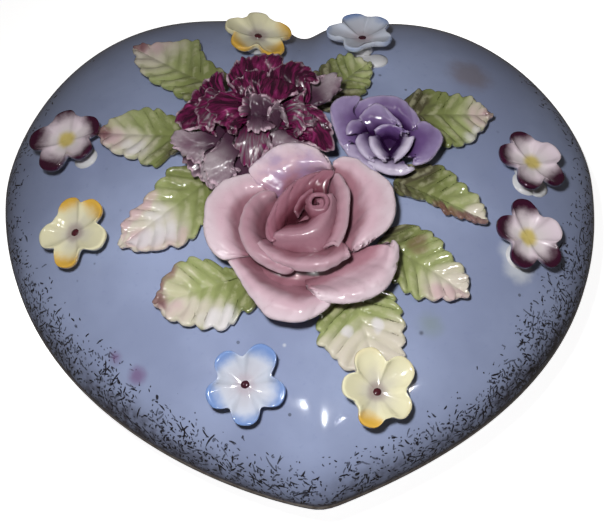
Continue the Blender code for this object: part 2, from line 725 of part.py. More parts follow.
LEAVES = (
    Leaf("leaf_back_left", Spot(137.9, 0.705), 143.0, 21.0 * MM, 7.0 * MM, 1.4 * MM, 0.9 * MM),
    Leaf("leaf_left", Spot(168.4, 0.646), 171.0, 20.5 * MM, 6.6 * MM, 1.2 * MM, 0.8 * MM),
    Leaf("leaf_mid_left", Spot(207.5, 0.644), 217.0, 23.0 * MM, 7.6 * MM, 1.2 * MM, 0.9 * MM),
    Leaf("leaf_front_left", Spot(228.1, 0.685), 194.0, 20.5 * MM, 7.2 * MM, 1.4 * MM, 0.9 * MM),
    Leaf("leaf_front", Spot(286.0, 0.740), 287.0, 18.5 * MM, 8.0 * MM, 0.2 * MM, 0.9 * MM),
    Leaf("leaf_front_right", Spot(315.4, 0.706), 328.0, 18.5 * MM, 6.8 * MM, 1.2 * MM, 0.9 * MM),
    Leaf("leaf_right_narrow", Spot(336.8, 0.626), 335.0, 18.5 * MM, 4.2 * MM, 1.4 * MM, 0.8 * MM),
    Leaf("leaf_right", Spot(14.1, 0.638), 4.0, 18.0 * MM, 6.8 * MM, 1.2 * MM, 0.9 * MM),
    Leaf("leaf_back_right", Spot(55.7, 0.473), 42.0, 15.0 * MM, 5.6 * MM, 1.0 * MM, 0.7 * MM),
)


def petals_of(*pairs):
    """Petals from pairs of bearing and reach in millimetres, counter-clockwise."""
    return tuple(Petal(bearing, reach * MM) for bearing, reach in pairs)


SMALL_FLOWERS = (
    SmallFlower("yellow_flower_back", "yellow_glaze", Spot(105.2, 0.609), Vector((0.18, -0.11)), 2.6 * MM,
                petals_of((12.0, 6.8), (90.0, 6.1), (167.0, 7.0), (225.0, 7.2), (297.0, 7.5))),
    SmallFlower("blue_flower_back", "blue_glaze", Spot(63.6, 0.607), Vector((0.0, -0.02)), 2.6 * MM,
                petals_of((48.0, 7.0), (105.0, 7.5), (171.0, 7.3), (244.0, 6.2), (331.0, 6.2))),
    SmallFlower("burgundy_flower_left", "burgundy_glaze", Spot(170.9, 0.744), Vector((0.10, 0.0)), 2.6 * MM,
                petals_of((15.0, 7.3), (93.0, 6.5), (173.0, 7.6), (244.0, 8.0), (313.0, 7.3))),
    SmallFlower("yellow_flower_left", "yellow_glaze", Spot(197.6, 0.751), Vector((0.01, 0.0)), 2.4 * MM,
                petals_of((38.0, 7.3), (94.0, 6.9), (182.0, 7.1), (253.0, 7.5), (331.0, 7.5))),
    SmallFlower("blue_flower_front", "blue_glaze", Spot(256.6, 0.770), Vector((0.16, -0.06)), 2.4 * MM,
                petals_of((56.0, 8.1), (128.0, 7.1), (200.0, 7.4), (269.0, 7.4), (341.0, 7.5))),
    SmallFlower("yellow_flower_front", "yellow_glaze", Spot(284.0, 0.798), Vector((0.11, 0.09)), 3.2 * MM,
                petals_of((47.0, 8.2), (113.0, 8.2), (176.0, 7.1), (254.0, 6.9), (331.0, 6.9))),
    SmallFlower("burgundy_flower_right", "burgundy_glaze", Spot(358.4, 0.735), Vector((-0.04, 0.12)),
                2.6 * MM, petals_of((31.0, 6.7), (115.0, 7.0), (179.0, 7.4), (251.0, 7.4), (320.0, 7.1))),
    SmallFlower("burgundy_flower_front_right", "burgundy_glaze", Spot(337.6, 0.760), Vector((0.04, 0.06)),
                2.6 * MM, petals_of((23.0, 7.4), (103.0, 7.6), (174.0, 7.3), (247.0, 7.4), (320.0, 7.6))),
)


def main():
    """Build the dish, the lid and everything stuck to it."""
    clear_scene()
    glazes = make_glazes()
    outline, move = centred(heart_outline())
    centre = Vector((0.0, DOME_CENTRE_Y)) + move
    ring = ring_outline(outline)
    dome = Dome(outline, centre)

    add_base(ring, centre, glazes["box_glaze"])
    lid = add_lid(ring, dome, glazes["lid_glaze"], BASE_HEIGHT + SEAT_GAP)

    placed = []
    blooms = ((ROSE, "rose_glaze"), (VIOLET_ROSE, "violet_glaze"), (CARNATION, "carnation_glaze"))
    for bloom, glaze in blooms:
        add_bloom(bloom, dome, glazes[glaze], lid, placed)
        placed.append((bloom, dome.plan(bloom.spot)))
    stalks = [(plan, bloom.rows[1].reach) for bloom, plan in placed]
    for leaf in LEAVES:
        add_leaf(leaf, dome, glazes["leaf_glaze"], lid, stalks)
    for flower in SMALL_FLOWERS:
        add_small_flower(flower, dome, glazes[flower.glaze], lid)


main()
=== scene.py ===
"""Ceramic heart trinket box, dressed: glazed lid and dish, hand-built roses, leaves and small flowers.

Lengths are metres in the meshes. Sizes are written in millimetres and multiplied by MM where they are used.
The heart's tip points along -Y, its cleft along +Y, and Z is up from the surface that the box stands on.
"""
from __future__ import annotations

import logging
import math
from dataclasses import dataclass
from enum import Enum
from typing import Sequence

import bmesh
import bpy
import numpy as np
from mathutils import Matrix, Vector
from mathutils.geometry import interpolate_bezier

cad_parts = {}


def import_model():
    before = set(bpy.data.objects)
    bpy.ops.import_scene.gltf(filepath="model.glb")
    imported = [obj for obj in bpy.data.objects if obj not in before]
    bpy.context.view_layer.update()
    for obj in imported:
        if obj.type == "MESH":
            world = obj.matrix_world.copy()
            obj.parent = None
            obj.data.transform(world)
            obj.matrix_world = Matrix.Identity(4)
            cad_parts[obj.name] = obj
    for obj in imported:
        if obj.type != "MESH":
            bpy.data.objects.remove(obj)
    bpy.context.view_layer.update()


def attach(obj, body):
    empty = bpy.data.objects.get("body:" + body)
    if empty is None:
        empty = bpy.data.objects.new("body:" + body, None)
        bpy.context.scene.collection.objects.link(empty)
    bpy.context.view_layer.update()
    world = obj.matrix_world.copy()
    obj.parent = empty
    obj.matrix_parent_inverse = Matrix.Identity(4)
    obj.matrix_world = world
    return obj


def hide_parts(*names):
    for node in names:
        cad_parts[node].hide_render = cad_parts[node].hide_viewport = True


MM = 0.001
BODY = "root"
LID_FIT = 0.9995
PAD_GAP = 0.15
FLOWER_GAP = 0.3
LEAF_GAP = 0.25
Point = tuple[float, float, float]
Colour = tuple[int, int, int]

log = logging.getLogger("heart_box")


def linear(colour: Colour) -> tuple[float, float, float, float]:
    """Turn a paint colour into the shader's linear light.

    Args:
        colour: Red, green and blue from 0 to 255, as a paint chart gives them.

    Returns:
        The same colour as linear light, with full opacity.
    """
    parts = [value / 255 for value in colour]
    return (*[p / 12.92 if p <= 0.04045 else ((p + 0.055) / 1.055) ** 2.4 for p in parts], 1.0)


def smoothstep(low: float, high: float, value: np.ndarray) -> np.ndarray:
    """Rise smoothly from 0 at low to 1 at high."""
    share = np.clip((value - low) / (high - low), 0.0, 1.0)
    return share * share * (3 - 2 * share)


def unit(vectors: np.ndarray) -> np.ndarray:
    """Scale each vector to a length of one."""
    return vectors / np.maximum(np.linalg.norm(vectors, axis=-1, keepdims=True), 1e-12)


def spline(knots: np.ndarray, places: np.ndarray, stations: np.ndarray) -> np.ndarray:
    """Pass a smooth curve through knots.

    Args:
        knots: The knots, along the first axis.
        places: How far along the curve each knot lies, rising.
        stations: Where the curve is wanted, in the same measure.

    Returns:
        The curve's points at the stations.
    """
    slopes = np.gradient(knots, places, axis=0)
    i = np.clip(np.searchsorted(places, stations, side="right") - 1, 0, len(places) - 2)
    span = places[i + 1] - places[i]
    shape = (-1,) + (1,) * (knots.ndim - 1)
    t = ((stations - places[i]) / span).reshape(shape)
    span = span.reshape(shape)
    return ((2 * t ** 3 - 3 * t ** 2 + 1) * knots[i] + (t ** 3 - 2 * t ** 2 + t) * span * slopes[i]
            + (3 * t ** 2 - 2 * t ** 3) * knots[i + 1] + (t ** 3 - t ** 2) * span * slopes[i + 1])


def run_of(points: np.ndarray) -> np.ndarray:
    """Measure how far along a line its points lie.

    Args:
        points: The line's points.

    Returns:
        Each point's share of the way, from 0 to 1.
    """
    steps = np.linalg.norm(np.diff(points, axis=0), axis=-1)
    run = np.concatenate([[0.0], np.cumsum(np.maximum(steps, 1e-9))])
    return run / run[-1]


def crowded_ends(count: int, share: float = 0.35) -> np.ndarray:
    """Space stations from 0 to 1 so that they stand closer together toward both ends."""
    even = np.linspace(0.0, 1.0, count)
    return (1 - share) * even + share * (0.5 - 0.5 * np.cos(math.pi * even))


class Clay:
    """A mesh that is built up from closed shells, with values at its points that the glazes read."""

    def __init__(self, *paints: str) -> None:
        """Start empty.

        Args:
            *paints: The names of the values that every shell gives at its points.
        """
        self.paints = paints
        self.points: list[np.ndarray] = []
        self.faces: list[list[int]] = []
        self.values: dict[str, list[np.ndarray]] = {paint: [] for paint in paints}
        self.count = 0

    def add(self, points: np.ndarray, faces: Sequence[Sequence[int]], **values: np.ndarray | float) -> None:
        """Add one closed shell.

        Args:
            points: Its points in metres.
            faces: Its faces, as indices into its own points.
            **values: The painted values at its points, or one number for all of them.
        """
        self.points.append(points)
        self.faces += [[index + self.count for index in face] for face in faces]
        for paint in self.paints:
            self.values[paint].append(np.broadcast_to(values.get(paint, 0.0), len(points)))
        self.count += len(points)

    def fire(self, name: str, material: bpy.types.Material) -> bpy.types.Object:
        """Turn the shells into a smooth-shaded object in the scene.

        Args:
            name: The object's name.
            material: Its glaze.

        Returns:
            The new object.
        """
        mesh = bpy.data.meshes.new(name)
        mesh.from_pydata(np.concatenate(self.points).tolist(), [], self.faces)
        bm = bmesh.new()
        bm.from_mesh(mesh)
        bmesh.ops.recalc_face_normals(bm, faces=bm.faces)
        bm.to_mesh(mesh)
        bm.free()
        mesh.shade_smooth()
        for paint, values in self.values.items():
            layer = mesh.attributes.new(paint, "FLOAT", "POINT")
            layer.data.foreach_set("value", np.concatenate(values).astype(np.float32))
        mesh.materials.append(material)
        thing = bpy.data.objects.new(name, mesh)
        bpy.context.scene.collection.objects.link(thing)
        return thing


def surface_normals(grid: np.ndarray) -> np.ndarray:
    """Give the normals of a surface that is known at a grid of points."""
    return unit(np.cross(np.gradient(grid, axis=1), np.gradient(grid, axis=0)))


def edge_distance(grid: np.ndarray, root: bool) -> np.ndarray:
    """Measure how far each point of a sheet is from its free edges.

    Args:
        grid: The sheet's middle surface, rows from root to rim.
        root: Whether the first row is a free edge too.

    Returns:
        The distance of each point from the nearest free edge.
    """
    down, over = run_over(grid, 0), run_over(grid, 1)
    nearest = np.minimum(down[-1:] - down, np.minimum(over, over[:, -1:] - over))
    return np.minimum(nearest, down) if root else nearest


def sheet_shell(middle: np.ndarray, thickness: np.ndarray) -> tuple[np.ndarray, list[list[int]]]:
    """Give a sheet its two sides and close it round its edge.

    Args:
        middle: The sheet's middle surface as a grid of points.
        thickness: Its thickness at each of them.

    Returns:
        The points of both sides, upper side first, and the faces.
    """
    rows, columns = middle.shape[:2]
    offset = surface_normals(middle) * (thickness / 2)[..., None]
    points = np.concatenate([(middle + offset).reshape(-1, 3), (middle - offset).reshape(-1, 3)])
    index = np.arange(rows * columns).reshape(rows, columns)
    quads = np.stack([index[:-1, :-1], index[:-1, 1:], index[1:, 1:], index[1:, :-1]], -1).reshape(-1, 4)
    faces = quads.tolist() + (quads[:, ::-1] + rows * columns).tolist()
    border = np.concatenate([index[0, :-1], index[:-1, -1], index[-1, :0:-1], index[:0:-1, 0]])
    for here, there in zip(border, np.roll(border, -1)):
        faces.append([int(there), int(here), int(here) + rows * columns, int(there) + rows * columns])
    return points, faces


def rounded(distance: np.ndarray, thickness: float, least: float = 0.18) -> np.ndarray:
    """Thin a sheet toward its free edge so that the edge comes out round."""
    share = np.clip(distance / (thickness * 0.6), 0.0, 1.0)
    return thickness * (least + (1 - least) * np.sqrt(1 - (1 - share) ** 2))


def both_sides(values: np.ndarray) -> np.ndarray:
    """Repeat values that are known at a sheet's grid for its two sides."""
    return np.tile(values.ravel(), 2)


def run_over(grid: np.ndarray, axis: int) -> np.ndarray:
    """Measure how far each point of a line, or of a grid along one axis, lies from the first one on."""
    steps = np.linalg.norm(np.diff(grid, axis=axis), axis=-1)
    return np.insert(np.cumsum(steps, axis=axis), 0, 0.0, axis=axis)


def bearings(count: int) -> np.ndarray:
    """Space bearings evenly round a full turn."""
    return np.linspace(0.0, math.tau, count, endpoint=False)


def at_height(plan: np.ndarray, height: float) -> np.ndarray:
    """Lift plan points to one height."""
    return np.column_stack([plan, np.full(len(plan), height)])


def ring_at(angles: np.ndarray, radius: np.ndarray, height: np.ndarray | float) -> np.ndarray:
    """Give the points at a radius and a height along each bearing."""
    heights = np.broadcast_to(height, angles.shape)
    return np.stack([radius * np.cos(angles), radius * np.sin(angles), heights], -1)


def turned_shell(rings: Sequence[np.ndarray]) -> list[list[int]]:
    """Join rings of equal length into a closed skin, with one point as its first and its last stage.

    Args:
        rings: The stages, of which the first and the last hold one point.

    Returns:
        The faces over the stages' points in order.
    """
    starts = np.cumsum([0] + [len(ring) for ring in rings])
    faces = []
    for near, far, a, b in zip(rings, rings[1:], starts, starts[1:]):
        count = max(len(near), len(far))
        for i in range(count):
            j = (i + 1) % count
            if len(near) == 1:
                faces.append([a, b + i, b + j])
            elif len(far) == 1:
                faces.append([a + i, b, a + j])
            else:
                faces.append([a + i, b + i, b + j, a + j])
    return [[int(index) for index in face] for face in faces]


@dataclass(frozen=True)
class Spot:
    """A place on the lid: bearing from the dome's centre in degrees, and the share of the way to the rim."""

    bearing: float
    share: float


@dataclass(frozen=True)
class HeartPlan:
    """The heart's outline in millimetres, seen from above, as the box's own source draws it."""

    width: float = 120.0
    tip_y: float = -69.2
    tip_shift: float = 2.6
    tip_shift_power: float = 1.5
    lobe: tuple[float, float] = (20.4, 41.1)
    cleft_y: float = 35.8
    cleft_shift: float = 2.2
    cleft_blend: float = 18.0
    softening: float = 1.9
    tip_handle: float = 19.2
    side_handles: tuple[float, float] = (46.2, 12.1)
    lobe_handles: tuple[float, float] = (27.7, 22.9)
    cleft_handle: tuple[float, float] = (6.0, 1.0)
    halves: tuple[tuple[float, float], ...] = ((69.3, -1.05), (78.7, 1.05))
    lobe_reach: float = 1.1 / 1.05
    samples: int = 480

    def half(self, tip_angle: float, lobe_rise: float) -> list[Vector]:
        """Draw one side from the tip to just before the cleft, on the +X side.

        Args:
            tip_angle: Direction in which the side leaves the tip, in degrees from +Y.
            lobe_rise: How much higher its lobe stands than the other's middle.

        Returns:
            The side's points.
        """
        tip = Vector((0.0, self.tip_y))
        widest = Vector((self.width / 2, 0.0))
        lobe = Vector((self.lobe[0], self.lobe[1] + lobe_rise))
        cleft = Vector((0.0, self.cleft_y))
        angle = math.radians(tip_angle)
        way = Vector((math.sin(angle), math.cos(angle))) * self.tip_handle
        stretches = (
            (tip, way, Vector((0.0, -self.side_handles[0])), widest),
            (widest, Vector((0.0, self.side_handles[1])),
             Vector((self.lobe_handles[0] + lobe_rise * self.lobe_reach, 0.0)), lobe),
            (lobe, Vector((-self.lobe_handles[1], 0.0)), Vector(self.cleft_handle), cleft),
        )
        points = []
        for start, out, back, end in stretches:
            line = interpolate_bezier(start, start + out, end + back, end, self.samples // 4)
            points += [point.to_2d() for point in line[:-1]]
        return points

    def outline(self) -> tuple[np.ndarray, np.ndarray]:
        """Draw the closed outline, counter-clockwise from the tip.

        Returns:
            The outline centred on its bounding box, in millimetres, and the move that centred it.
        """
        right, left = (self.half(*half) for half in self.halves)
        mirrored = [Vector((-point.x, point.y)) for point in left[:0:-1]]
        points = np.array([tuple(point) for point in right + [Vector((0.0, self.cleft_y))] + mirrored])
        below = np.maximum(0.0, points[:, 1] / self.tip_y)
        blend = np.exp(-(points[:, 0] / self.cleft_blend) ** 2)
        above = np.clip(points[:, 1] / self.cleft_y, 0.0, 1.0) * blend
        points[:, 0] += self.tip_shift * below ** self.tip_shift_power + self.cleft_shift * above
        closed = np.vstack([points, points[:1]])
        run = run_over(closed, 0)
        stations = np.arange(self.samples) / self.samples * run[-1]
        points = np.stack([np.interp(stations, run, closed[:, axis]) for axis in (0, 1)], 1)
        passes = round(2 * (self.softening / np.linalg.norm(points[1] - points[0])) ** 2)
        for _ in range(passes):
            points = (np.roll(points, 1, 0) + 2 * points + np.roll(points, -1, 0)) / 4
        middle = (points.max(0) + points.min(0)) / 2
        return points - middle, -middle


class LidForm:
    """The lid's outer surface over the heart's plan, in metres in the box's frame."""

    def __init__(self, plan: HeartPlan, seat: float) -> None:
        """Set the form out.

        Args:
            plan: The heart's outline.
            seat: Height of the lid's seat above the ground, in metres.
        """
        outline, move = plan.outline()
        self.outline = outline * LID_FIT * MM
        self.centre = (np.array([0.0, -4.8]) + move) * MM
        self.band = 2.4 * MM
        self.rise = 20.9 * MM
        self.powers = (2.09, 1.81)
        self.spring = seat + self.band
        spokes = self.outline - self.centre
        angles = np.arctan2(spokes[:, 1], spokes[:, 0]) % math.tau
        order = np.argsort(angles)
        angles = angles[order]
        lengths = np.linalg.norm(spokes, axis=1)[order]
        self.angles = np.concatenate([angles - math.tau, angles, angles + math.tau])
        self.lengths = np.tile(lengths, 3)

    def spoke(self, angle: np.ndarray) -> np.ndarray:
        """Give the distance from the centre to the rim along a bearing in radians."""
        return np.interp(angle % math.tau, self.angles, self.lengths)

    def height(self, plan: np.ndarray) -> np.ndarray:
        """Give the height of the surface.

        Args:
            plan: Plan points.

        Returns:
            The height over each of them.
        """
        way = plan - self.centre
        share = np.linalg.norm(way, axis=-1) / self.spoke(np.arctan2(way[..., 1], way[..., 0]))
        bulge = (1 - np.minimum(1.0, share) ** self.powers[0]) ** (1 / self.powers[1])
        return self.spring + self.rise * bulge

    def normal(self, plan: np.ndarray) -> np.ndarray:
        """Give the outward direction of the surface.

        Args:
            plan: Plan points.

        Returns:
            The direction over each of them.
        """
        step = 0.25 * MM
        x = np.array([step, 0.0])
        y = np.array([0.0, step])
        slopes = [(self.height(plan + way) - self.height(plan - way)) / (2 * step) for way in (x, y)]
        return unit(np.stack([-slopes[0], -slopes[1], np.ones_like(slopes[0])], -1))

    def place(self, plan: np.ndarray, lift: np.ndarray | float) -> np.ndarray:
        """Give the points at a distance off the surface over plan points."""
        points = np.concatenate([plan, self.height(plan)[..., None]], -1)
        return points + self.normal(plan) * np.asarray(lift)[..., None]

    def plan(self, spot: Spot) -> np.ndarray:
        """Give the plan point of a spot."""
        angle = math.radians(spot.bearing)
        return self.centre + np.array([math.cos(angle), math.sin(angle)]) * (self.spoke(angle) * spot.share)


@dataclass(frozen=True)
class Gloss:
    """How a glaze shines: its least and most roughness, its clear coat, and its relief's grain and depth.

    The grain is in clouds to a metre, the depth in millimetres. The roughness runs from smooth to rough while
    the clouds go from clear to cloudy.
    """

    smooth: float
    rough: float
    coat: float
    grain: float
    depth: float
    detail: float = 2.0
    cloudy: float = 0.7
    clear: float = 0.3
    coat_roughness: float = 0.06


class Palette:
    """Builds one glaze's nodes, with short calls for the few kinds of node that the glazes use."""

    def __init__(self, name: str) -> None:
        """Start a material with its shader.

        Args:
            name: The material's name.
        """
        self.material = bpy.data.materials.new(name)
        self.material.use_nodes = True
        self.tree = self.material.node_tree
        self.shader = self.tree.nodes["Principled BSDF"]

    def node(self, kind: str, **inputs: object) -> bpy.types.Node:
        """Add a node and set or link its inputs.

        Args:
            kind: The node's type, without its common prefix.
            **inputs: A socket to link or a value to set for each named input, spaces written as underscores.

        Returns:
            The new node.
        """
        node = self.tree.nodes.new("ShaderNode" + kind)
        for name, value in inputs.items():
            self.feed(node.inputs[name.replace("_", " ")], value)
        return node

    def feed(self, socket: bpy.types.NodeSocket, value: object) -> None:
        """Link a socket to another one, or set its own value.

        Args:
            socket: The input socket.
            value: The output socket or the value that feeds it.
        """
        if isinstance(value, bpy.types.NodeSocket):
            self.tree.links.new(value, socket)
        else:
            socket.default_value = value

    def paint(self, name: str) -> bpy.types.NodeSocket:
        """Read a value painted on the mesh's points.

        Args:
            name: The attribute that holds it.

        Returns:
            The value.
        """
        node = self.node("Attribute")
        node.attribute_name = name
        return node.outputs["Fac"]

    def place(self) -> bpy.types.NodeSocket:
        """Read the point's place in the object's own axes."""
        return self.node("TexCoord").outputs["Object"]

    def joined(self, kind: str, operation: str, first: object, second: object) -> bpy.types.NodeOutputs:
        """Join two values by one operation.

        Args:
            kind: The node's type, without its common prefix.
            operation: The name of the operation.
            first: A value or a socket.
            second: A value or a socket.

        Returns:
            The node's outputs.
        """
        node = self.node(kind)
        node.operation = operation
        self.feed(node.inputs[0], first)
        self.feed(node.inputs[1], second)
        return node.outputs

    def maths(self, operation: str, first: object, second: object) -> bpy.types.NodeSocket:
        """Join two numbers by one operation."""
        return self.joined("Math", operation, first, second)["Value"]

    def times(self, first: object, second: object) -> bpy.types.NodeSocket:
        """Multiply two numbers."""
        return self.maths("MULTIPLY", first, second)

    def plus(self, first: object, second: object) -> bpy.types.NodeSocket:
        """Add two numbers."""
        return self.maths("ADD", first, second)

    def sway(self, clouds: object, reach: float) -> bpy.types.NodeSocket:
        """Turn clouds into a push to either side of zero."""
        return self.times(self.maths("SUBTRACT", clouds, 0.5), reach)

    def between(self, value: object, low: float, high: float, start: float = 0.0, end: float = 1.0
                ) -> bpy.types.NodeSocket:
        """Run smoothly from start to end while a value goes from low to high.

        Args:
            value: The value's socket.
            low: Where the run begins.
            high: Where it ends.
            start: The result at its beginning.
            end: The result at its end.

        Returns:
            The result.
        """
        node = self.node("MapRange", Value=value, From_Min=low, From_Max=high, To_Min=start, To_Max=end)
        node.interpolation_type = "SMOOTHSTEP"
        return node.outputs["Result"]

    def noise(self, scale: float, *, detail: float = 2.0, roughness: float = 0.5, at: object = None
              ) -> bpy.types.NodeSocket:
        """Give clouds of a size.

        Args:
            scale: How many clouds to a metre.
            detail: How many finer octaves they have.
            roughness: How strong these are.
            at: The place to read them at, or none for the object's own axes.

        Returns:
            The clouds.
        """
        return self.node("TexNoise", Vector=self.place() if at is None else at, Scale=scale, Detail=detail,
                         Roughness=roughness).outputs["Fac"]

    def cells(self, scale: float, *, at: object = None, output: str = "Distance") -> bpy.types.NodeSocket:
        """Give a pattern of cells.

        Args:
            scale: How many cells to a metre.
            at: The place in a plane to read them at, or none for the object's own axes.
            output: Which of the pattern's values is wanted.

        Returns:
            The pattern.
        """
        node = self.node("TexVoronoi")
        node.voronoi_dimensions = "3D" if at is None else "2D"
        self.feed(node.inputs["Vector"], self.place() if at is None else at)
        self.feed(node.inputs["Scale"], scale)
        return node.outputs[output]

    def mix(self, share: object, under: object, over: object, blend: str = "MIX") -> bpy.types.NodeSocket:
        """Lay one colour over another.

        Args:
            share: How much of the upper colour shows.
            under: The lower colour, as a paint colour or a socket.
            over: The upper colour, as a paint colour or a socket.
            blend: How they join.

        Returns:
            The joined colour.
        """
        node = self.node("Mix")
        node.data_type = "RGBA"
        node.blend_type = blend
        self.feed(node.inputs[0], share)
        for index, colour in ((6, under), (7, over)):
            value = colour if isinstance(colour, bpy.types.NodeSocket) else linear(colour)
            self.feed(node.inputs[index], value)
        return node.outputs[2]

    def ramp(self, value: object, *stops: tuple[float, Colour]) -> bpy.types.NodeSocket:
        """Turn a value into a colour by way of several stops.

        Args:
            value: The value's socket.
            *stops: Places from 0 to 1, with their paint colours.

        Returns:
            The colour.
        """
        node = self.node("ValToRGB", Fac=value)
        node.color_ramp.interpolation = "EASE"
        elements = node.color_ramp.elements
        for _ in range(len(stops) - 2):
            elements.new(0.5)
        for element, (place, colour) in zip(elements, stops):
            element.position = place
            element.color = linear(colour)
        return node.outputs["Color"]

    def finish(self, colour: object, roughness: object, gloss: Gloss | None = None, relief: object = None
               ) -> bpy.types.Material:
        """Join colour, gloss and relief in the shader.

        Args:
            colour: The colour's socket.
            roughness: The roughness, or clouds from which the gloss works it out.
            gloss: The glaze's coat and relief, or none for a bare matt surface.
            relief: The height of the relief, or none for plain clouds.

        Returns:
            The finished material.
        """
        inputs = self.shader.inputs
        self.feed(inputs["Base Color"], colour)
        if gloss is None:
            self.feed(inputs["Roughness"], roughness)
            return self.material
        roughness = self.between(roughness, gloss.clear, gloss.cloudy, gloss.smooth, gloss.rough)
        self.feed(inputs["Roughness"], roughness)
        inputs["Coat Weight"].default_value = gloss.coat
        inputs["Coat Roughness"].default_value = gloss.coat_roughness
        height = self.noise(gloss.grain, detail=gloss.detail) if relief is None else relief
        bump = self.node("Bump", Height=height, Distance=gloss.depth * MM, Strength=1.0)
        self.feed(inputs["Normal"], bump.outputs["Normal"])
        return self.material


class Band(Enum):
    """The dry marks that a sponge left along the lid's edge: cells per metre, length, thickness, crowding."""

    LONG = (215.0, 0.46, 0.045, 0.46)
    CROSSED = (330.0, 0.44, 0.070, 0.56)
    MIDDLE = (430.0, 0.42, 0.090, 0.66)
    SHORT = (560.0, 0.36, 0.120, 0.66)
    FINE = (760.0, 0.34, 0.125, 0.60)
    DOTS = (950.0, 0.22, 0.190, 0.50)
    BLOBS = (400.0, 0.24, 0.150, 0.24)


@dataclass(frozen=True)
class SpongedGlaze:
    """Periwinkle glaze with dark sponged strokes over a grey haze, partly painted shade, along the rim, and a
    worn gilt edge.

    Rises are in millimetres: the haze's along the skin from the dome's foot, those of line and gilt off the
    seat. A mark is a colour, a middle, a radius, how far it fades and how strong it is.
    """

    body: Colour = (147, 158, 189)
    deep: Colour = (131, 141, 171)
    haze_and_shade: Colour = (60, 58, 68)
    stroke: Colour = (22, 18, 32)
    olive: Colour = (36, 36, 32)
    gilt: Colour = (124, 112, 104)
    gilt_line: Colour = (76, 68, 74)
    bright: Colour = (120, 128, 166)
    gilt_glint: Colour = (168, 160, 154)
    haze_and_shade_rise: tuple[float, float] = (1.5, 9.0)
    haze_and_shade_strength: float = 0.74
    ink_strength: float = 0.97
    line_rise: tuple[float, float] = (3.3, 2.7)
    gilt_rise: tuple[float, float] = (2.1, 1.8)
    curl: float = 0.35
    ragged: float = 1.6
    plenty: float = 1.6
    gloss: Gloss = Gloss(0.07, 0.16, 0.5, 75.0, 0.05, cloudy=0.75)
    marks: tuple[tuple[Colour, Point, float, float, float], ...] = ()

    def dashes(self, palette: Palette, plane: bpy.types.NodeSocket, density: bpy.types.NodeSocket,
               band: Band) -> bpy.types.NodeSocket:
        """Scatter one kind of dash over the rim.

        Args:
            palette: The lid's nodes.
            plane: Place along the rim and up from it, in metres.
            density: How crowded the marks are, from 0 to 1.
            band: The kind of dash.

        Returns:
            The marks, from 0 to 1.
        """
        scale, length, thickness, crowding = band.value
        at = palette.joined("VectorMath", "ADD", plane, (scale * 0.013, scale * 0.007, 0.0))["Vector"]
        tint = palette.node("SeparateColor", Color=palette.cells(scale, at=at, output="Color")).outputs
        centre = palette.cells(scale, at=at, output="Position")
        away = palette.joined("VectorMath", "SUBTRACT", at, centre)["Vector"]
        turned = palette.node("VectorRotate", Vector=away, Angle=palette.times(tint["Red"], math.tau))
        turned.rotation_type = "Z_AXIS"
        parts = palette.node("SeparateXYZ", Vector=turned.outputs["Vector"]).outputs
        bend = palette.times(palette.maths("POWER", parts["X"], 2.0), scale * self.curl)
        wide = palette.maths("DIVIDE", parts["X"], length / scale)
        thin = palette.maths("DIVIDE", palette.maths("SUBTRACT", parts["Y"], bend), thickness / scale)
        reach = palette.plus(palette.maths("POWER", wide, 2.0), palette.maths("POWER", thin, 2.0))
        rough = palette.times(palette.noise(scale * 6, at=plane), self.ragged)
        mark = palette.between(palette.plus(reach, rough), 1.25, 1.75, 1.0, 0.0)
        shown = palette.maths("LESS_THAN", tint["Green"], palette.times(density, crowding * self.plenty))
        faint = palette.between(tint["Blue"], 0.0, 0.8, 0.6, 1.0)
        return palette.times(palette.times(mark, shown), faint)

    def patch(self, palette: Palette, centre: Point, radius: float, soft: float) -> bpy.types.NodeSocket:
        """Mark a cloudy patch round a point.

        Args:
            palette: The lid's nodes.
            centre: The patch's middle, in millimetres in the box's frame.
            radius: Its radius in millimetres.
            soft: How far it fades out, in millimetres.

        Returns:
            How strongly the patch shows, from 0 to 1.
        """
        middle = [value * MM for value in centre]
        away = palette.joined("VectorMath", "DISTANCE", palette.place(), middle)["Value"]
        wobble = palette.times(palette.noise(420.0, detail=3), soft * MM)
        return palette.between(palette.plus(away, wobble), (radius + soft) * MM, (radius - soft * 0.4) * MM)

    def ground(self, palette: Palette) -> bpy.types.NodeSocket:
        """Lay the cloudy blue ground with its faint bright specks.

        Args:
            palette: The lid's nodes.

        Returns:
            The ground's colour.
        """
        clouds = palette.between(palette.noise(34.0, detail=4, roughness=0.55), 0.35, 0.68)
        specks = palette.between(palette.noise(900.0), 0.60, 0.80, 0.0, 0.25)
        return palette.mix(specks, palette.mix(clouds, self.deep, self.body), self.bright)

    def sponged(self, palette: Palette, colour: bpy.types.NodeSocket) -> bpy.types.NodeSocket:
        """Lay the haze, partly painted shade, and the dark strokes along the rim.

        Args:
            palette: The lid's nodes.
            colour: The colour under them.

        Returns:
            The colour with them.
        """
        rise, density = palette.paint("rim_rise"), palette.paint("sponge")
        plane = palette.node("CombineXYZ", X=palette.paint("rim_run"), Y=rise).outputs["Vector"]
        # Painted shade: the grey haze is partly the glaze's own grey and partly shade that darkens the lid
        # toward its rim.
        start, end = [height * MM for height in self.haze_and_shade_rise]
        haze_and_shade = palette.times(density, palette.between(rise, start, end, 1.0, 0.12))
        clouds = palette.between(palette.noise(60.0, detail=3, at=plane), 0.30, 0.62, 0.45, 1.1)
        haze_and_shade = palette.times(haze_and_shade, clouds)
        grain = palette.between(palette.noise(520.0, detail=3, at=plane), 0.36, 0.66, 0.55, 1.0)
        haze_and_shade = palette.times(haze_and_shade, palette.times(grain, self.haze_and_shade_strength))
        colour = palette.mix(haze_and_shade, colour, self.haze_and_shade)
        clumps = palette.between(palette.noise(150.0, at=plane), 0.36, 0.60, 0.30, 1.35)
        patchy = palette.times(density, clumps)
        ink = palette.mix(palette.noise(70.0, at=plane), self.stroke, self.olive)
        for band in Band:
            mark = self.dashes(palette, plane, patchy, band)
            colour = palette.mix(palette.times(mark, self.ink_strength), colour, ink)
        return colour

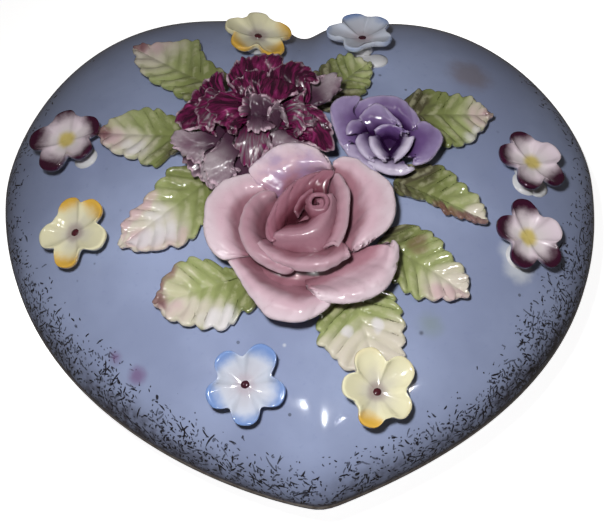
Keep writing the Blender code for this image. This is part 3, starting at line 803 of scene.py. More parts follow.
    def edged(self, palette: Palette, colour: bpy.types.NodeSocket) -> bpy.types.NodeSocket:
        """Lay the dark line and the worn gilt band round the lid's edge.

        Args:
            palette: The lid's nodes.
            colour: The colour under them.

        Returns:
            The colour with them.
        """
        height = palette.node("SeparateXYZ", Vector=palette.place()).outputs["Z"]
        level = palette.plus(height, palette.times(palette.noise(260.0, detail=4), 0.9 * MM))
        line, band = [[(LidPiece.seat + rise) * MM for rise in rises]
                      for rises in (self.line_rise, self.gilt_rise)]
        colour = palette.mix(palette.times(palette.between(level, *line), 0.55), colour, self.gilt_line)
        glint = palette.between(palette.noise(700.0, detail=3), 0.35, 0.65)
        gilt = palette.mix(glint, self.gilt, self.gilt_glint)
        return palette.mix(palette.between(level, *band), colour, gilt)

    def make(self) -> bpy.types.Material:
        """Mix the glaze.

        Returns:
            The lid's material.
        """
        palette = Palette("lid_sponged_glaze")
        colour = self.sponged(palette, self.ground(palette))
        for paint, centre, radius, soft, strength in self.marks:
            patch = self.patch(palette, centre, radius, soft)
            colour = palette.mix(palette.times(patch, strength), colour, paint)
        near = palette.between(palette.cells(210.0), 0.055, 0.085, 1.0, 0.0)
        fleck = palette.times(near, palette.between(palette.noise(45.0), 0.45, 0.62))
        colour = palette.mix(palette.times(fleck, 0.6), colour, self.olive)
        return palette.finish(self.edged(palette, colour), palette.noise(150.0, detail=4), self.gloss)


@dataclass(frozen=True)
class SpongeSpot:
    """How crowded the sponged marks are at one place along the rim, and how far up they reach."""

    run: float
    density: float
    reach: float


@dataclass
class LidPiece:
    """The puffed hollow lid: dome, rim band, flat seat, lip and ceiling, in millimetres.

    The skirt's first rings, as many as are shown, carry sponged marks. The others are out of their reach.
    """

    seat: float = 20.3
    rings: int = 84
    wall: float = 3.2
    rounding: float = 0.4
    seat_inset: float = 3.6
    lip_inset: float = 5.0
    lip_wall: float = 1.9
    lip_depth: float = 3.0
    shown: int = 7
    out_of_reach: float = 60.0
    sponging: tuple[SpongeSpot, ...] = ()

    def dome_rings(self, form: LidForm, outline: np.ndarray, inset: float, rise: float, count: int
                   ) -> list[np.ndarray]:
        """Give the rings of a dome from its rim up, and its top point.

        Args:
            form: The lid's outer form.
            outline: The rim's points.
            inset: How far the dome stands inside the outer one, in metres.
            rise: Its height in metres.
            count: How many rings it has.

        Returns:
            The rings, with the top as a ring of one point.
        """
        rim = self.inset(form, outline, inset)
        stages = []
        for turn in np.linspace(0.0, math.pi / 2, count + 1)[1:-1]:
            share = math.cos(turn) ** (2 / form.powers[0])
            lift = rise * math.sin(turn) ** (2 / form.powers[1])
            plan = form.centre + (rim - form.centre) * share
            stages.append(at_height(plan, form.spring + lift))
        stages.append(np.array([[*form.centre, form.spring + rise]]))
        return stages

    def inset(self, form: LidForm, outline: np.ndarray, inset: float) -> np.ndarray:
        """Draw the outline in toward the centre by a fixed distance in metres."""
        spokes = outline - form.centre
        return form.centre + spokes * (1 - inset / np.linalg.norm(spokes, axis=1, keepdims=True))

    def section(self) -> list[tuple[float, float]]:
        """Give the skirt's section, from the rim band in under the lip.

        Returns:
            Insets and heights off the seat, in millimetres.
        """
        turns = np.linspace(math.pi / 2, 0.0, 6)
        curve = [(self.rounding * (1 - math.sin(turn)), self.rounding * (1 - math.cos(turn)))
                 for turn in turns]
        return [(0.0, 2.0), (0.0, 1.4), (0.0, 0.8), *curve, (self.seat_inset, 0.0),
                (self.lip_inset, -self.lip_depth), (self.lip_inset + self.lip_wall, -self.lip_depth),
                (self.seat_inset + self.lip_wall, 0.0)]

    def crowding(self, share: np.ndarray, rises: np.ndarray) -> np.ndarray:
        """Work out how crowded the sponged marks are.

        Args:
            share: How far round the rim each point lies, from 0 to 1.
            rises: How far along the skin it lies above the dome's foot, in metres.

        Returns:
            The crowding at each point.
        """
        run, density, reach = np.array([(spot.run, spot.density, spot.reach) for spot in self.sponging]).T
        reach = np.interp(share, run, reach) * MM
        return np.interp(share, run, density) * (1 - smoothstep(reach * 0.30, reach * 1.15, rises))

    def build(self, form: LidForm, glaze: bpy.types.Material) -> bpy.types.Object:
        """Build the lid's closed skin with the values that its glaze reads.

        Args:
            form: The lid's outer form.
            glaze: The lid's material.

        Returns:
            The lid.
        """
        outline = np.roll(form.outline, len(form.outline) // 2, 0)
        skirt = [at_height(self.inset(form, outline, inset * MM), (self.seat + height) * MM)
                 for inset, height in self.section()]
        foot = at_height(outline, form.spring)
        outer = self.dome_rings(form, outline, 0.0, form.rise, self.rings)
        ceiling = self.dome_rings(form, outline, self.wall * MM, form.rise - self.wall * MM, self.rings // 3)
        stages = [*outer[::-1], foot, *skirt, *ceiling]
        climb = [np.zeros(len(outline))]
        for lower, upper in zip([foot, *outer], outer):
            climb.append(climb[-1] + np.linalg.norm(upper - lower, axis=1))
        climb[-1] = climb[-1][:1]
        below = [stage[:, 2] - form.spring for stage in skirt[:self.shown]]
        hidden = [np.full(len(stage), self.out_of_reach * MM) for stage in skirt[self.shown:] + ceiling]
        rises = np.concatenate(climb[::-1] + below + hidden)
        run = run_over(outline, 0)
        along = np.concatenate([run[:len(stage)] for stage in stages])
        clay = Clay("rim_run", "rim_rise", "sponge")
        clay.add(np.concatenate(stages), turned_shell(stages), rim_run=along, rim_rise=rises,
                 sponge=self.crowding(along / run[-1], rises))
        return clay.fire("dressed_lid", glaze)


@dataclass(frozen=True)
class DishGlaze:
    """The same periwinkle glaze on the dish, plainer, over a bare biscuit foot ring."""

    body: Colour = (146, 154, 191)
    deep: Colour = (128, 136, 172)
    biscuit: Colour = (206, 196, 178)
    fleck: Colour = (70, 68, 78)
    gloss: Gloss = Gloss(0.12, 0.72, 0.3, 75.0, 0.16, cloudy=1.0, clear=0.0)

    def make(self) -> bpy.types.Material:
        """Mix the glaze.

        Returns:
            The dish's material.
        """
        palette = Palette("dish_glaze")
        colour = palette.mix(palette.between(palette.noise(34.0, detail=4), 0.35, 0.68), self.deep, self.body)
        fleck = palette.between(palette.cells(330.0), 0.10, 0.16, 0.35, 0.0)
        colour = palette.mix(palette.times(fleck, palette.noise(60.0)), colour, self.fleck)
        height = palette.node("SeparateXYZ", Vector=palette.place()).outputs["Z"]
        ragged = palette.plus(height, palette.times(palette.noise(300.0), 0.5 * MM))
        bare = palette.between(ragged, 1.15 * MM, 0.85 * MM)
        colour = palette.mix(bare, colour, self.biscuit)
        return palette.finish(colour, bare, self.gloss)


@dataclass
class DishPiece:
    """The heart dish that the lid closes, as a section of inset and height in millimetres."""

    section: tuple[tuple[float, float], ...] = (
        (16.73, 1.4), (16.73, 0.15), (16.58, 0.0), (12.9, 0.0), (12.68, 0.12), (10.98, 1.4), (9.6, 1.9),
        (8.43, 2.7), (7.85, 3.5), (7.53, 4.5), (3.91, 12.25), (0.3, 19.6), (0.38, 19.86), (0.6, 20.0),
        (2.9, 20.0), (3.1, 19.86), (9.1, 7.1), (9.6, 5.9), (10.5, 4.95), (11.8, 4.4))

    def build(self, form: LidForm, lid: LidPiece, glaze: bpy.types.Material) -> bpy.types.Object:
        """Build the dish's closed skin.

        Args:
            form: The lid's form, whose plan the dish shares.
            lid: The lid, which knows how to draw the plan in.
            glaze: The dish's material.

        Returns:
            The dish.
        """
        outline = form.outline[::2]
        rings = [at_height(lid.inset(form, outline, inset * MM), z * MM) for inset, z in self.section]
        ends = [np.array([[*form.centre, z * MM]]) for z in (self.section[0][1], self.section[-1][1])]
        stages = [ends[0], *rings, ends[1]]
        clay = Clay()
        clay.add(np.concatenate(stages), turned_shell(stages))
        return clay.fire("dressed_dish", glaze)


@dataclass(frozen=True)
class Sheet:
    """One hand-pressed petal, as rows of points from root to rim, in millimetres from the flower's foot.

    A petal without a root value starts at its first row; the others run down to the flower's heart first.
    """

    name: str
    rows: tuple[tuple[Point, ...], ...]
    tint: float = 0.0
    pale: float = 0.0
    dark: float = 0.0
    root: float | None = 0.32
    shade: tuple[float, ...] = ()
    corner: tuple[float, float] = (0.11, 0.32)

    def middle(self, columns: int, rows: int) -> tuple[np.ndarray, np.ndarray]:
        """Lay the petal's middle surface out.

        Args:
            columns: How many points run across it.
            rows: How many points run from root to rim.

        Returns:
            A grid of points in millimetres, and for each of them how far its colour is from the darkest one,
            which is partly painted shade.
        """
        lines = [np.array(row, float) for row in self.rows]
        shade = list(self.shade) or [0.34 + 0.66 * i / (len(lines) - 1) for i in range(len(lines))]
        if self.root is not None:
            lines.insert(0, lines[0] * (self.root, self.root, 0.35))
            shade.insert(0, 0.0)
        laid = np.stack([spline(line, run_of(line), crowded_ends(columns)) for line in lines])
        steps = np.linalg.norm(np.diff(laid, axis=0), axis=-1).mean(1)
        places = np.concatenate([[0.0], np.cumsum(steps)])
        places /= places[-1]
        stations = crowded_ends(rows, 0.5)
        even = spline(laid, places, stations)
        far = np.minimum(np.linspace(0.0, 1.0, columns), np.linspace(1.0, 0.0, columns))
        drop = 1 - np.sqrt(1 - (1 - np.clip(far / self.corner[0], 0.0, 1.0)) ** 2)
        short = 1 - self.corner[1] * drop
        grid = np.stack([spline(laid[:, i], places, stations * short[i]) for i in range(columns)], 1)
        shades = np.interp(stations[:, None] * short, places, shade)
        return np.where(short[None, :, None] < 1.0, grid, even), shades


@dataclass(frozen=True)
class Frill:
    """How a petal's rim is torn and waved: tooth length, wave height and tooth spacing in millimetres."""

    tooth: float = 0.0
    wave: float = 0.10
    spacing: float = 0.75

    def torn(self, run: np.ndarray, seed: int) -> np.ndarray:
        """Give the uneven tear of a rim.

        Args:
            run: Places along the rim in millimetres.
            seed: Which petal it is.

        Returns:
            How far each place stands out, in millimetres.
        """
        chance = np.random.default_rng(seed)
        total = np.zeros_like(run)
        for spacing, share in ((self.spacing, 1.0), (self.spacing * 3.1, 0.9), (self.spacing * 0.5, 0.35)):
            knots = np.arange(0.0, run.max() + 2 * spacing, spacing)
            total += share * np.interp(run, knots, chance.uniform(-1.0, 1.0, len(knots)))
        return self.tooth * total


@dataclass
class Blossom:
    """A many-petalled flower: where it sits, its petals, and the thickness of the clay."""

    node: str
    slot: str
    spot: Spot
    petals: tuple[Sheet, ...]
    core: tuple[tuple[float, float], ...]
    core_dark: float = 0.3
    thickness: float = 0.9
    frill: Frill = Frill()
    columns: int = 56
    rows: int = 30

    def ruffled(self, grid: np.ndarray, index: int) -> np.ndarray:
        """Give a petal its torn rim and its uneven, hand-pressed surface.

        Args:
            grid: Its smooth middle surface in millimetres.
            index: Its number, which sets where its waves lie.

        Returns:
            Its middle surface in millimetres.
        """
        normals = surface_normals(grid)
        outward = unit(np.gradient(grid, axis=0))
        over = run_over(grid, 1)
        along = np.linspace(0.0, 1.0, self.rows)[:, None]
        phase = index * 1.7
        grid = grid + outward * (self.frill.torn(over[-1], index)[None, :] * along ** 6)[..., None]
        wave = np.sin(over * 1.15 + phase) + 0.7 * np.sin(over * 2.6 + phase * 2.3 + along * 3.0)
        return grid + normals * (self.frill.wave * wave * smoothstep(0.2, 1.0, along))[..., None]

    def receptacle(self, clay: Clay, foot: np.ndarray) -> None:
        """Add the lump of clay that the petals are pressed onto.

        Args:
            clay: The flower's mesh.
            foot: Its foot on the lid, in metres.
        """
        angles = bearings(40)
        rings = [np.array([[0.0, 0.0, self.core[0][1]]])]
        for radius, height in self.core[1:-1]:
            rings.append(ring_at(angles, radius * (1 + 0.05 * np.sin(3 * angles + height)), height))
        rings.append(np.array([[0.0, 0.0, self.core[-1][1]]]))
        points = np.concatenate(rings) * MM + foot
        clay.add(points, turned_shell(rings), along=0.34, rim=2.0, across=0.5, dark=self.core_dark)

    def build(self, form: LidForm, glaze: bpy.types.Material) -> bpy.types.Object:
        """Build the flower from its petals.

        Args:
            form: The lid that it sits on.
            glaze: The flower's material.

        Returns:
            The flower.
        """
        foot = form.place(form.plan(self.spot), FLOWER_GAP * MM)
        clay = Clay("along", "rim", "across", "tint", "pale", "dark", "petal")
        self.receptacle(clay, foot)
        for index, sheet in enumerate(self.petals):
            grid, shade = sheet.middle(self.columns, self.rows)
            grid = self.ruffled(grid, index)
            distance = edge_distance(grid, sheet.root is None)
            points, faces = sheet_shell(grid * MM, rounded(distance, self.thickness) * MM)
            clay.add(points + foot, faces, along=both_sides(shade), rim=both_sides(distance),
                     across=np.tile(np.linspace(0.0, 1.0, self.columns), self.rows * 2), tint=sheet.tint,
                     pale=sheet.pale, dark=sheet.dark, petal=index * 0.37 % 1.0)
        return clay.fire("dressed_" + self.node, glaze)


@dataclass(frozen=True)
class RoseGlaze:
    """Dusty pink glaze that thins to pinkish grey on the rims; its dark mauve hollows are pooled glaze and
    painted shade.
    """

    hollow_pool_and_shade: Colour = (104, 62, 72)
    throat: Colour = (152, 108, 120)
    middle: Colour = (192, 162, 173)
    rim: Colour = (208, 190, 198)
    inner: Colour = (182, 144, 155)
    violet: Colour = (142, 120, 160)
    speck: Colour = (160, 116, 132)
    gloss: Gloss = Gloss(0.14, 0.26, 0.5, 170.0, 0.16, detail=3)

    def make(self) -> bpy.types.Material:
        """Mix the glaze.

        Returns:
            The rose's material.
        """
        palette = Palette("rose_pink_glaze")
        along = palette.paint("along")
        cloud = palette.noise(190.0, detail=3)
        depth = palette.plus(along, palette.sway(cloud, 0.34))
        # Painted shade: the ramp darkens toward the petals' roots and hollows, partly as pooled glaze and
        # partly as shade.
        colour = palette.ramp(depth, (0.22, self.hollow_pool_and_shade), (0.42, self.throat), (0.64, self.middle),
                              (0.95, self.rim))
        tinted = palette.times(palette.paint("tint"), palette.between(cloud, 0.38, 0.60))
        colour = palette.mix(palette.times(tinted, 0.6), colour, self.violet)
        edge = palette.between(palette.paint("rim"), 0.0, 0.9, 0.5, 0.0)
        colour = palette.mix(edge, colour, self.rim)
        grain = palette.between(palette.noise(850.0, detail=3), 0.55, 0.80, 0.0, 0.22)
        colour = palette.mix(grain, colour, self.speck)
        colour = palette.mix(palette.paint("dark"), colour, self.inner, "MULTIPLY")
        return palette.finish(colour, cloud, self.gloss)


@dataclass(frozen=True)
class CarnationGlaze:
    """Burgundy glaze brushed on in streaks over grey-mauve, left pale along the torn rims."""

    wine: Colour = (94, 20, 62)
    deep: Colour = (44, 8, 30)
    magenta: Colour = (138, 46, 100)
    mauve: Colour = (112, 88, 102)
    grey: Colour = (150, 138, 144)
    rim: Colour = (206, 178, 192)
    # root: painted shade for the deep parts of the petals.
    root: Colour = (66, 42, 58)
    gloss: Gloss = Gloss(0.14, 0.28, 0.5, 1.0, 0.12)

    def make(self) -> bpy.types.Material:
        """Mix the glaze.

        Returns:
            The carnation's material.
        """
        palette = Palette("carnation_streaked_glaze")
        along = palette.paint("along")
        across = palette.paint("across")
        petal = palette.paint("petal")
        brush = palette.node("CombineXYZ", X=palette.times(across, 15.0),
                             Y=palette.times(along, 2.2),
                             Z=palette.times(petal, 31.0)).outputs["Vector"]
        streak = palette.noise(1.0, detail=3, roughness=0.65, at=brush)
        cloud = palette.noise(260.0, detail=3)
        wine = palette.mix(palette.between(streak, 0.40, 0.62), self.deep, self.wine)
        wine = palette.mix(palette.between(streak, 0.56, 0.74, 0.0, 0.85), wine, self.magenta)
        pale = palette.mix(palette.between(cloud, 0.35, 0.65), self.mauve, self.grey)
        # Painted shade: the grey-mauve darkens to the root colour toward the petals' roots.
        shaded = palette.mix(palette.between(along, 0.40, 0.85), self.root, pale)
        dark = palette.plus(palette.paint("dark"), palette.sway(streak, 1.1))
        colour = palette.mix(palette.between(dark, 0.30, 0.62), shaded, wine)
        reach = palette.plus(palette.paint("rim"), palette.times(streak, 2.4))
        worn = palette.between(palette.noise(300.0), 0.34, 0.54, 0.25, 1.0)
        edge = palette.times(palette.between(reach, 1.0, 1.9, 0.95, 0.0), worn)
        colour = palette.mix(edge, colour, self.rim)
        return palette.finish(colour, cloud, self.gloss, palette.noise(self.gloss.grain, at=brush))


@dataclass(frozen=True)
class VioletGlaze:
    """Purple glaze, deep in the hollows from its own colour and painted shade, and thin and lilac-grey toward
    the rims.
    """

    hollow_pool_and_shade: Colour = (40, 16, 54)
    purple: Colour = (88, 62, 112)
    lilac: Colour = (130, 114, 154)
    white: Colour = (204, 196, 212)
    rim: Colour = (164, 152, 178)
    gloss: Gloss = Gloss(0.12, 0.24, 0.5, 180.0, 0.12)

    def make(self) -> bpy.types.Material:
        """Mix the glaze.

        Returns:
            The violet rose's material.
        """
        palette = Palette("violet_rose_glaze")
        cloud = palette.noise(230.0, detail=3)
        depth = palette.plus(palette.paint("along"), palette.sway(cloud, 0.5))
        # Painted shade: the ramp darkens toward the petals' roots and hollows, partly as the glaze's colour
        # and partly as shade.
        colour = palette.ramp(depth, (0.30, self.hollow_pool_and_shade), (0.62, self.purple), (0.98, self.lilac))
        pale = palette.times(palette.paint("pale"), palette.between(depth, 0.35, 0.85))
        colour = palette.mix(palette.times(pale, 0.9), colour, self.white)
        edge = palette.between(palette.paint("rim"), 0.0, 0.9, 0.8, 0.0)
        colour = palette.mix(edge, colour, self.rim)
        return palette.finish(colour, cloud, self.gloss)


class Tint(Enum):
    """The colours that are dabbed onto a leaf's green, in the order in which they go on."""

    CREAM = "cream"
    PINK = "pink"
    # The white dabs are white slip on some leaves and painted highlights on leaf_front.
    WHITE = "white"
    MAROON = "maroon"


@dataclass(frozen=True)
class Dab:
    """A dab of colour on a leaf: how far along it, how far across (-1 to 1), its two radii and strength."""

    tint: Tint
    along: float
    across: float
    length: float
    width: float
    strength: float = 1.0


@dataclass
class LeafPiece:
    """A toothed leaf that follows the lid: the place of its tip, its heading and its two margins."""

    node: str
    tip: Spot
    heading: float
    length: float
    tip_lift: float
    edge_lift: float
    left: tuple[tuple[float, float], ...]
    right: tuple[tuple[float, float], ...]
    dabs: tuple[Dab, ...] = ()
    ripe: float = 0.0
    teeth: int = 7
    crest: float = 0.72
    start: float = 0.02
    reach: float = 1.0
    thickness: float = 1.1
    columns: int = 41
    rows: int = 97

    def margin(self, profile: tuple[tuple[float, float], ...], share: np.ndarray, phase: float) -> np.ndarray:
        """Give the half width along the leaf, with its rounded teeth.

        Args:
            profile: Shares along the leaf, with the half width there in millimetres.
            share: Where the width is wanted.
            phase: Where the teeth stand, in teeth.

        Returns:
            The half width in millimetres.
        """
        knots = np.array(((0.0, profile[0][1] * 0.55), *profile, (self.reach, 0.0)), float)
        width = spline(knots[:, 1], knots[:, 0], np.clip(share, 0.0, self.reach))
        tip = np.sqrt(np.clip((self.reach - share) / 0.10, 0.0, 1.0))
        width = np.maximum(width, 1.6 * tip) * np.minimum(1.0, tip * 1.15)
        turn = (share * self.teeth + phase) % 1.0
        rise, fall = turn / self.crest, (turn - self.crest) / (1 - self.crest)
        tooth = np.where(turn < self.crest, np.sin(rise * math.pi / 2), np.cos(fall * math.pi / 2))
        bite = 0.85 * smoothstep(0.10, 0.30, share) * smoothstep(0.0, 0.12, self.reach - share)
        return np.maximum(width - bite * (1 - tooth), 0.05)

    def pleats(self, share: np.ndarray, side: np.ndarray, from_midrib: np.ndarray
               ) -> tuple[np.ndarray, np.ndarray]:
        """Press the midrib and the side veins in.

        Args:
            share: How far along the leaf each point lies.
            side: How far out it lies, from 0 to 1.
            from_midrib: Its distance from the midrib in millimetres.

        Returns:
            The veins' wave from -1 to 1, and the height that they give in millimetres.
        """
        chance = np.random.default_rng(round(self.heading))
        shift = np.interp(share, np.linspace(0.0, 1.2, 9), chance.uniform(-0.3, 0.3, 9))
        vein = np.cos(math.tau * (share * self.teeth + 0.35 + shift - from_midrib * 0.21))
        midrib = -0.14 * np.exp(-(from_midrib / 0.5) ** 2) + 0.10 * np.exp(-((from_midrib - 1.1) / 0.7) ** 2)
        depth = (0.15 + 0.20 * side) * smoothstep(0.3, 1.6, from_midrib) * (1 - side ** 8)
        return vein, midrib + depth * vein

    def dabbed(self, share: np.ndarray, across: np.ndarray) -> dict[str, np.ndarray]:
        """Lay the dabs of colour on.

        Args:
            share: How far along the leaf each point lies.
            across: How far across it lies, from -1 to 1.

        Returns:
            How strong each colour is at the points of both sides.
        """
        dabs = {tint.value: np.zeros(share.shape) for tint in Tint}
        for dab in self.dabs:
            far = ((share - dab.along) / dab.length) ** 2 + ((across - dab.across) / dab.width) ** 2
            mark = dab.strength * (1 - smoothstep(0.0, 2.3, far))
            dabs[dab.tint.value] = np.maximum(dabs[dab.tint.value], mark)
        return {name: both_sides(mark) for name, mark in dabs.items()}

    def build(self, form: LidForm, glaze: bpy.types.Material) -> bpy.types.Object:
        """Build the leaf.

        Args:
            form: The lid that it lies on.
            glaze: The leaf's material.

        Returns:
            The leaf.
        """
        angle = math.radians(self.heading)
        way = np.array([math.cos(angle), math.sin(angle)])
        beside = np.array([-way[1], way[0]])
        stations = self.start + (self.reach - self.start) * crowded_ends(self.rows)
        turn = np.linspace(-1.0, 1.0, self.columns)
        share, across = np.meshgrid(stations, np.sign(turn) * (1 - (1 - np.abs(turn)) ** 1.25), indexing="ij")
        side = np.abs(across)
        widths = np.where(across > 0, self.margin(self.left, stations, 0.15)[:, None],
                          self.margin(self.right, stations, 0.55)[:, None])
        lean = 0.9 * side ** 1.5 * smoothstep(0.0, 0.2, self.reach - share)
        forward = (share - 1.0) * self.length + lean
        sideways = across * widths + 0.35 * np.sin(math.pi * share)
        plan = form.plan(self.tip) / MM + forward[..., None] * way + sideways[..., None] * beside
        vein, relief = self.pleats(share, side, side * widths)
        lift = self.tip_lift * np.clip(share, 0.0, 1.1) ** 2 + self.edge_lift * side ** 1.6
        curl = 0.22 * np.sin(share * 9.0 + np.sign(across) * 1.3) * side ** 3
        height = LEAF_GAP + self.thickness / 2 + lift + curl + relief
        middle = form.place(plan * MM, height * MM) / MM
        distance = edge_distance(middle, True)
        points, faces = sheet_shell(middle * MM, rounded(distance, self.thickness, 0.25) * MM)
        clay = Clay("along", "vein", *[tint.value for tint in Tint])
        clay.add(points, faces, along=both_sides(share + self.ripe), vein=both_sides(vein),
                 **self.dabbed(share, across))
        return clay.fire("dressed_" + self.node, glaze)


@dataclass(frozen=True)
class LeafGlaze:
    """Yellow-green glaze, cream and pink toward the tips, with maroon rubbed on the edges."""

    shade: Colour = (76, 72, 52)
    green: Colour = (116, 124, 74)
    lime: Colour = (150, 158, 106)
    pale: Colour = (186, 184, 152)
    cream: Colour = (202, 194, 181)
    pink: Colour = (194, 160, 168)
    maroon: Colour = (104, 48, 60)
    white: Colour = (216, 212, 216)
    gloss: Gloss = Gloss(0.10, 0.18, 0.8, 300.0, 0.20, detail=3)

    def make(self) -> bpy.types.Material:
        """Mix the glaze.

        Returns:
            The leaves' material.
        """
        palette = Palette("leaf_green_glaze")
        cloud = palette.noise(170.0, detail=3, roughness=0.55)
        fine = palette.noise(600.0, detail=3)
        drift = palette.maths("SUBTRACT", cloud, 0.5)
        run = palette.plus(palette.paint("along"), palette.times(drift, 0.50))
        colour = palette.ramp(run, (0.12, self.shade), (0.34, self.green), (0.58, self.lime),
                              (0.80, self.pale), (1.0, self.cream))
        vein = palette.paint("vein")
        colour = palette.mix(palette.between(vein, -1.0, 0.2, 0.34, 0.0), colour, self.green)
        ridge = palette.times(palette.between(vein, 0.3, 1.0), palette.between(fine, 0.40, 0.62, 0.0, 0.4))
        colour = palette.mix(ridge, colour, self.pale)
        uneven = palette.plus(palette.times(drift, 0.9), palette.times(vein, 0.10))
        # The white tint lays white slip and, on leaf_front, painted highlights.
        for tint in Tint:
            dabbed = palette.paint(tint.value)
            mark = palette.between(palette.plus(dabbed, uneven), 0.1, 1.0)
            shown = palette.times(mark, palette.between(dabbed, 0.0, 0.4))
            colour = palette.mix(palette.times(shown, 0.8), colour, getattr(self, tint.value))
        return palette.finish(colour, fine, self.gloss)


@dataclass(frozen=True)
class PetalSpot:
    """One petal of a small flower: bearing, reach in millimetres and paint on its tip."""

    bearing: float
    reach: float
    paint: float


def petal_ring(*petals: Point) -> tuple[PetalSpot, ...]:
    """Name the values of a small flower's petals."""
    return tuple(PetalSpot(*petal) for petal in petals)


@dataclass
class LittleFlower:
    """A five-petalled flower cut from one sheet of clay, cupped, and pressed onto a small pad."""

    node: str
    slot: str
    spot: Spot
    lean: tuple[float, float]
    stand: float
    petals: tuple[PetalSpot, ...]
    eye_radius: float = 0.85
    slip: tuple[Point, ...] = ()
    cup: float = 1.5
    thickness: float = 1.3
    floor: float = 0.55
    petal_width: float = 0.35
    petal_root: float = 0.60
    squareness: float = 2.6
    merging: float = 1.6
    longest: float = 7.0
    columns: int = 180
    rows: int = 26

    def axes(self, normal: np.ndarray, lean: tuple[float, float]) -> np.ndarray:
        """Give the axes of a piece that leans off the lid's normal.

        Args:
            normal: The lid's outward direction under the flower.
            lean: How far it leans along X and Y.

        Returns:
            The directions to its right, to its back and outward, as rows.
        """
        outward = unit(normal + np.array([*lean, 0.0]))
        right = unit(np.cross((0.0, 1.0, 0.0), outward))
        return np.array([right, np.cross(outward, right), outward])

    def lobes(self, bearing: np.ndarray) -> tuple[np.ndarray, np.ndarray]:
        """Give the outline along each bearing, and how much of it belongs to each petal.

        Args:
            bearing: Bearings in radians.

        Returns:
            The reach in millimetres, and the petals' shares as rows.
        """
        reaches = []
        for spot in self.petals:
            turn = (bearing - math.radians(spot.bearing) + math.pi) % math.tau - math.pi
            radius = np.linspace(self.petal_root, 1.12, 135)[:, None] * spot.reach
            ahead = (radius * np.cos(turn) - 0.55 * spot.reach) / (0.45 * spot.reach)
            aside = radius * np.sin(turn) / (self.petal_width * spot.reach)
            inside = np.abs(ahead) ** self.squareness + np.abs(aside) ** self.squareness <= 1.0
            inside &= np.abs(turn) < 1.5
            reaches.append(np.where(inside, radius, self.petal_root * spot.reach).max(0))
        lobes = np.array(reaches)
        weights = np.exp(self.merging * (lobes - lobes.max(0)))
        outline = lobes.max(0) + np.log(weights.sum(0)) / self.merging * 0.40
        for _ in range(2):
            outline = (np.roll(outline, 1) + 2 * outline + np.roll(outline, -1)) / 4
        return outline, weights / weights.sum(0)

    def lump(self, clay: Clay, axes: np.ndarray, base: np.ndarray, profile: Sequence[tuple[float, float]],
             **values: float) -> None:
        """Add a small turned lump of clay.

        Args:
            clay: The flower's mesh.
            axes: The axes that it stands in.
            base: Its foot in millimetres.
            profile: Its radius and height, from its foot to its top, both ends on its middle line.
            **values: The paint on it.
        """
        angles = bearings(28)
        rings = []
        for radius, height in profile:
            uneven = radius * (1 + 0.06 * np.sin(2 * angles + 1.0))
            rings.append(ring_at(angles, uneven, height) @ axes if radius else (axes[2] * height)[None])
        clay.add((np.concatenate(rings) + base) * MM, turned_shell(rings), **values)

    def cut_sheet(self, clay: Clay, axes: np.ndarray, base: np.ndarray) -> None:
        """Add the cupped sheet of clay that the petals are cut from.

        Args:
            clay: The flower's mesh.
            axes: The axes that it lies in.
            base: Its middle in millimetres.
        """
        bearing = bearings(self.columns)
        outline, shares = self.lobes(bearing)
        paints = shares.T @ np.array([spot.paint for spot in self.petals])
        widest = shares.max(0)
        up = np.array([0.0, 0.0, 1.0])
        middle = (up * self.floor)[None]
        half = (up * self.thickness / 2)[None]
        below, above, along, near = [middle - half], [middle + half], [np.zeros(1)], [np.zeros(1)]
        for share in np.sin(np.linspace(0.0, math.pi / 2, self.rows)[1:]):
            radius = outline * share
            crease = 0.06 * (1 - widest) * 2 * share * (1 - share ** 4)
            curl = 0.10 * np.sin(3 * bearing + 5 * share) * share
            curl += 0.35 * (1 - smoothstep(0.6, 1.0, widest)) * share ** 2
            middle = ring_at(bearing, radius, self.floor + self.cup * share ** 1.8 + curl - crease)
            half = rounded((1 - share) * outline, self.thickness, 0.3)[:, None] / 2 * up
            above.append(middle + half)
            below.append(middle - half)
            along.append(np.full(self.columns, share))
            near.append(radius / self.longest)
        stages = below + above[::-1]
        paint = [np.zeros(1), *[paints] * (2 * len(along) - 2), np.zeros(1)]
        clay.add((np.concatenate(stages) @ axes + base) * MM, turned_shell(stages),
                 along=np.concatenate(along + along[::-1]), near=np.concatenate(near + near[::-1]),
                 paint=np.concatenate(paint))

    def build(self, form: LidForm, glaze: bpy.types.Material) -> bpy.types.Object:
        """Build the flower: pad, slip, petals and eye.

        Args:
            form: The lid that it sits on.
            glaze: The flower's material.

        Returns:
            The flower.
        """
        plan = form.plan(self.spot)
        normal = form.normal(plan)
        upright, leaning = self.axes(normal, (0.0, 0.0)), self.axes(normal, self.lean)
        foot = form.place(plan, PAD_GAP * MM) / MM
        base = foot + normal * self.stand
        clay = Clay("along", "near", "paint", "eye", "slip")
        pad = ((0.0, 0.0), (2.0, 0.0), (2.2, 0.3), (1.9, 1.2), (2.2, self.stand - 0.1),
               (0.0, self.stand + 0.2))
        self.lump(clay, upright, foot, pad, near=1.0, slip=1.0)
        for right, back, size in self.slip:
            spread = foot + upright[0] * right + upright[1] * back
            smear = ((0.0, -0.9), (size, -0.7), (size * 0.96, -0.1), (size * 0.6, 0.25), (0.0, 0.3))
            self.lump(clay, upright, spread, smear, near=1.0, slip=1.0)
        self.cut_sheet(clay, leaning, base)
        if self.eye_radius:
            size = self.eye_radius
            dome = ((0.0, 0.1), (size, 0.2), (size * 1.02, 0.65), (size * 0.8, 0.9), (size * 0.45, 1.0),
                    (0.0, 1.05))
            self.lump(clay, leaning, base + leaning[2] * 0.45, dome, near=1.0, eye=1.0)
        return clay.fire("dressed_" + self.node, glaze)


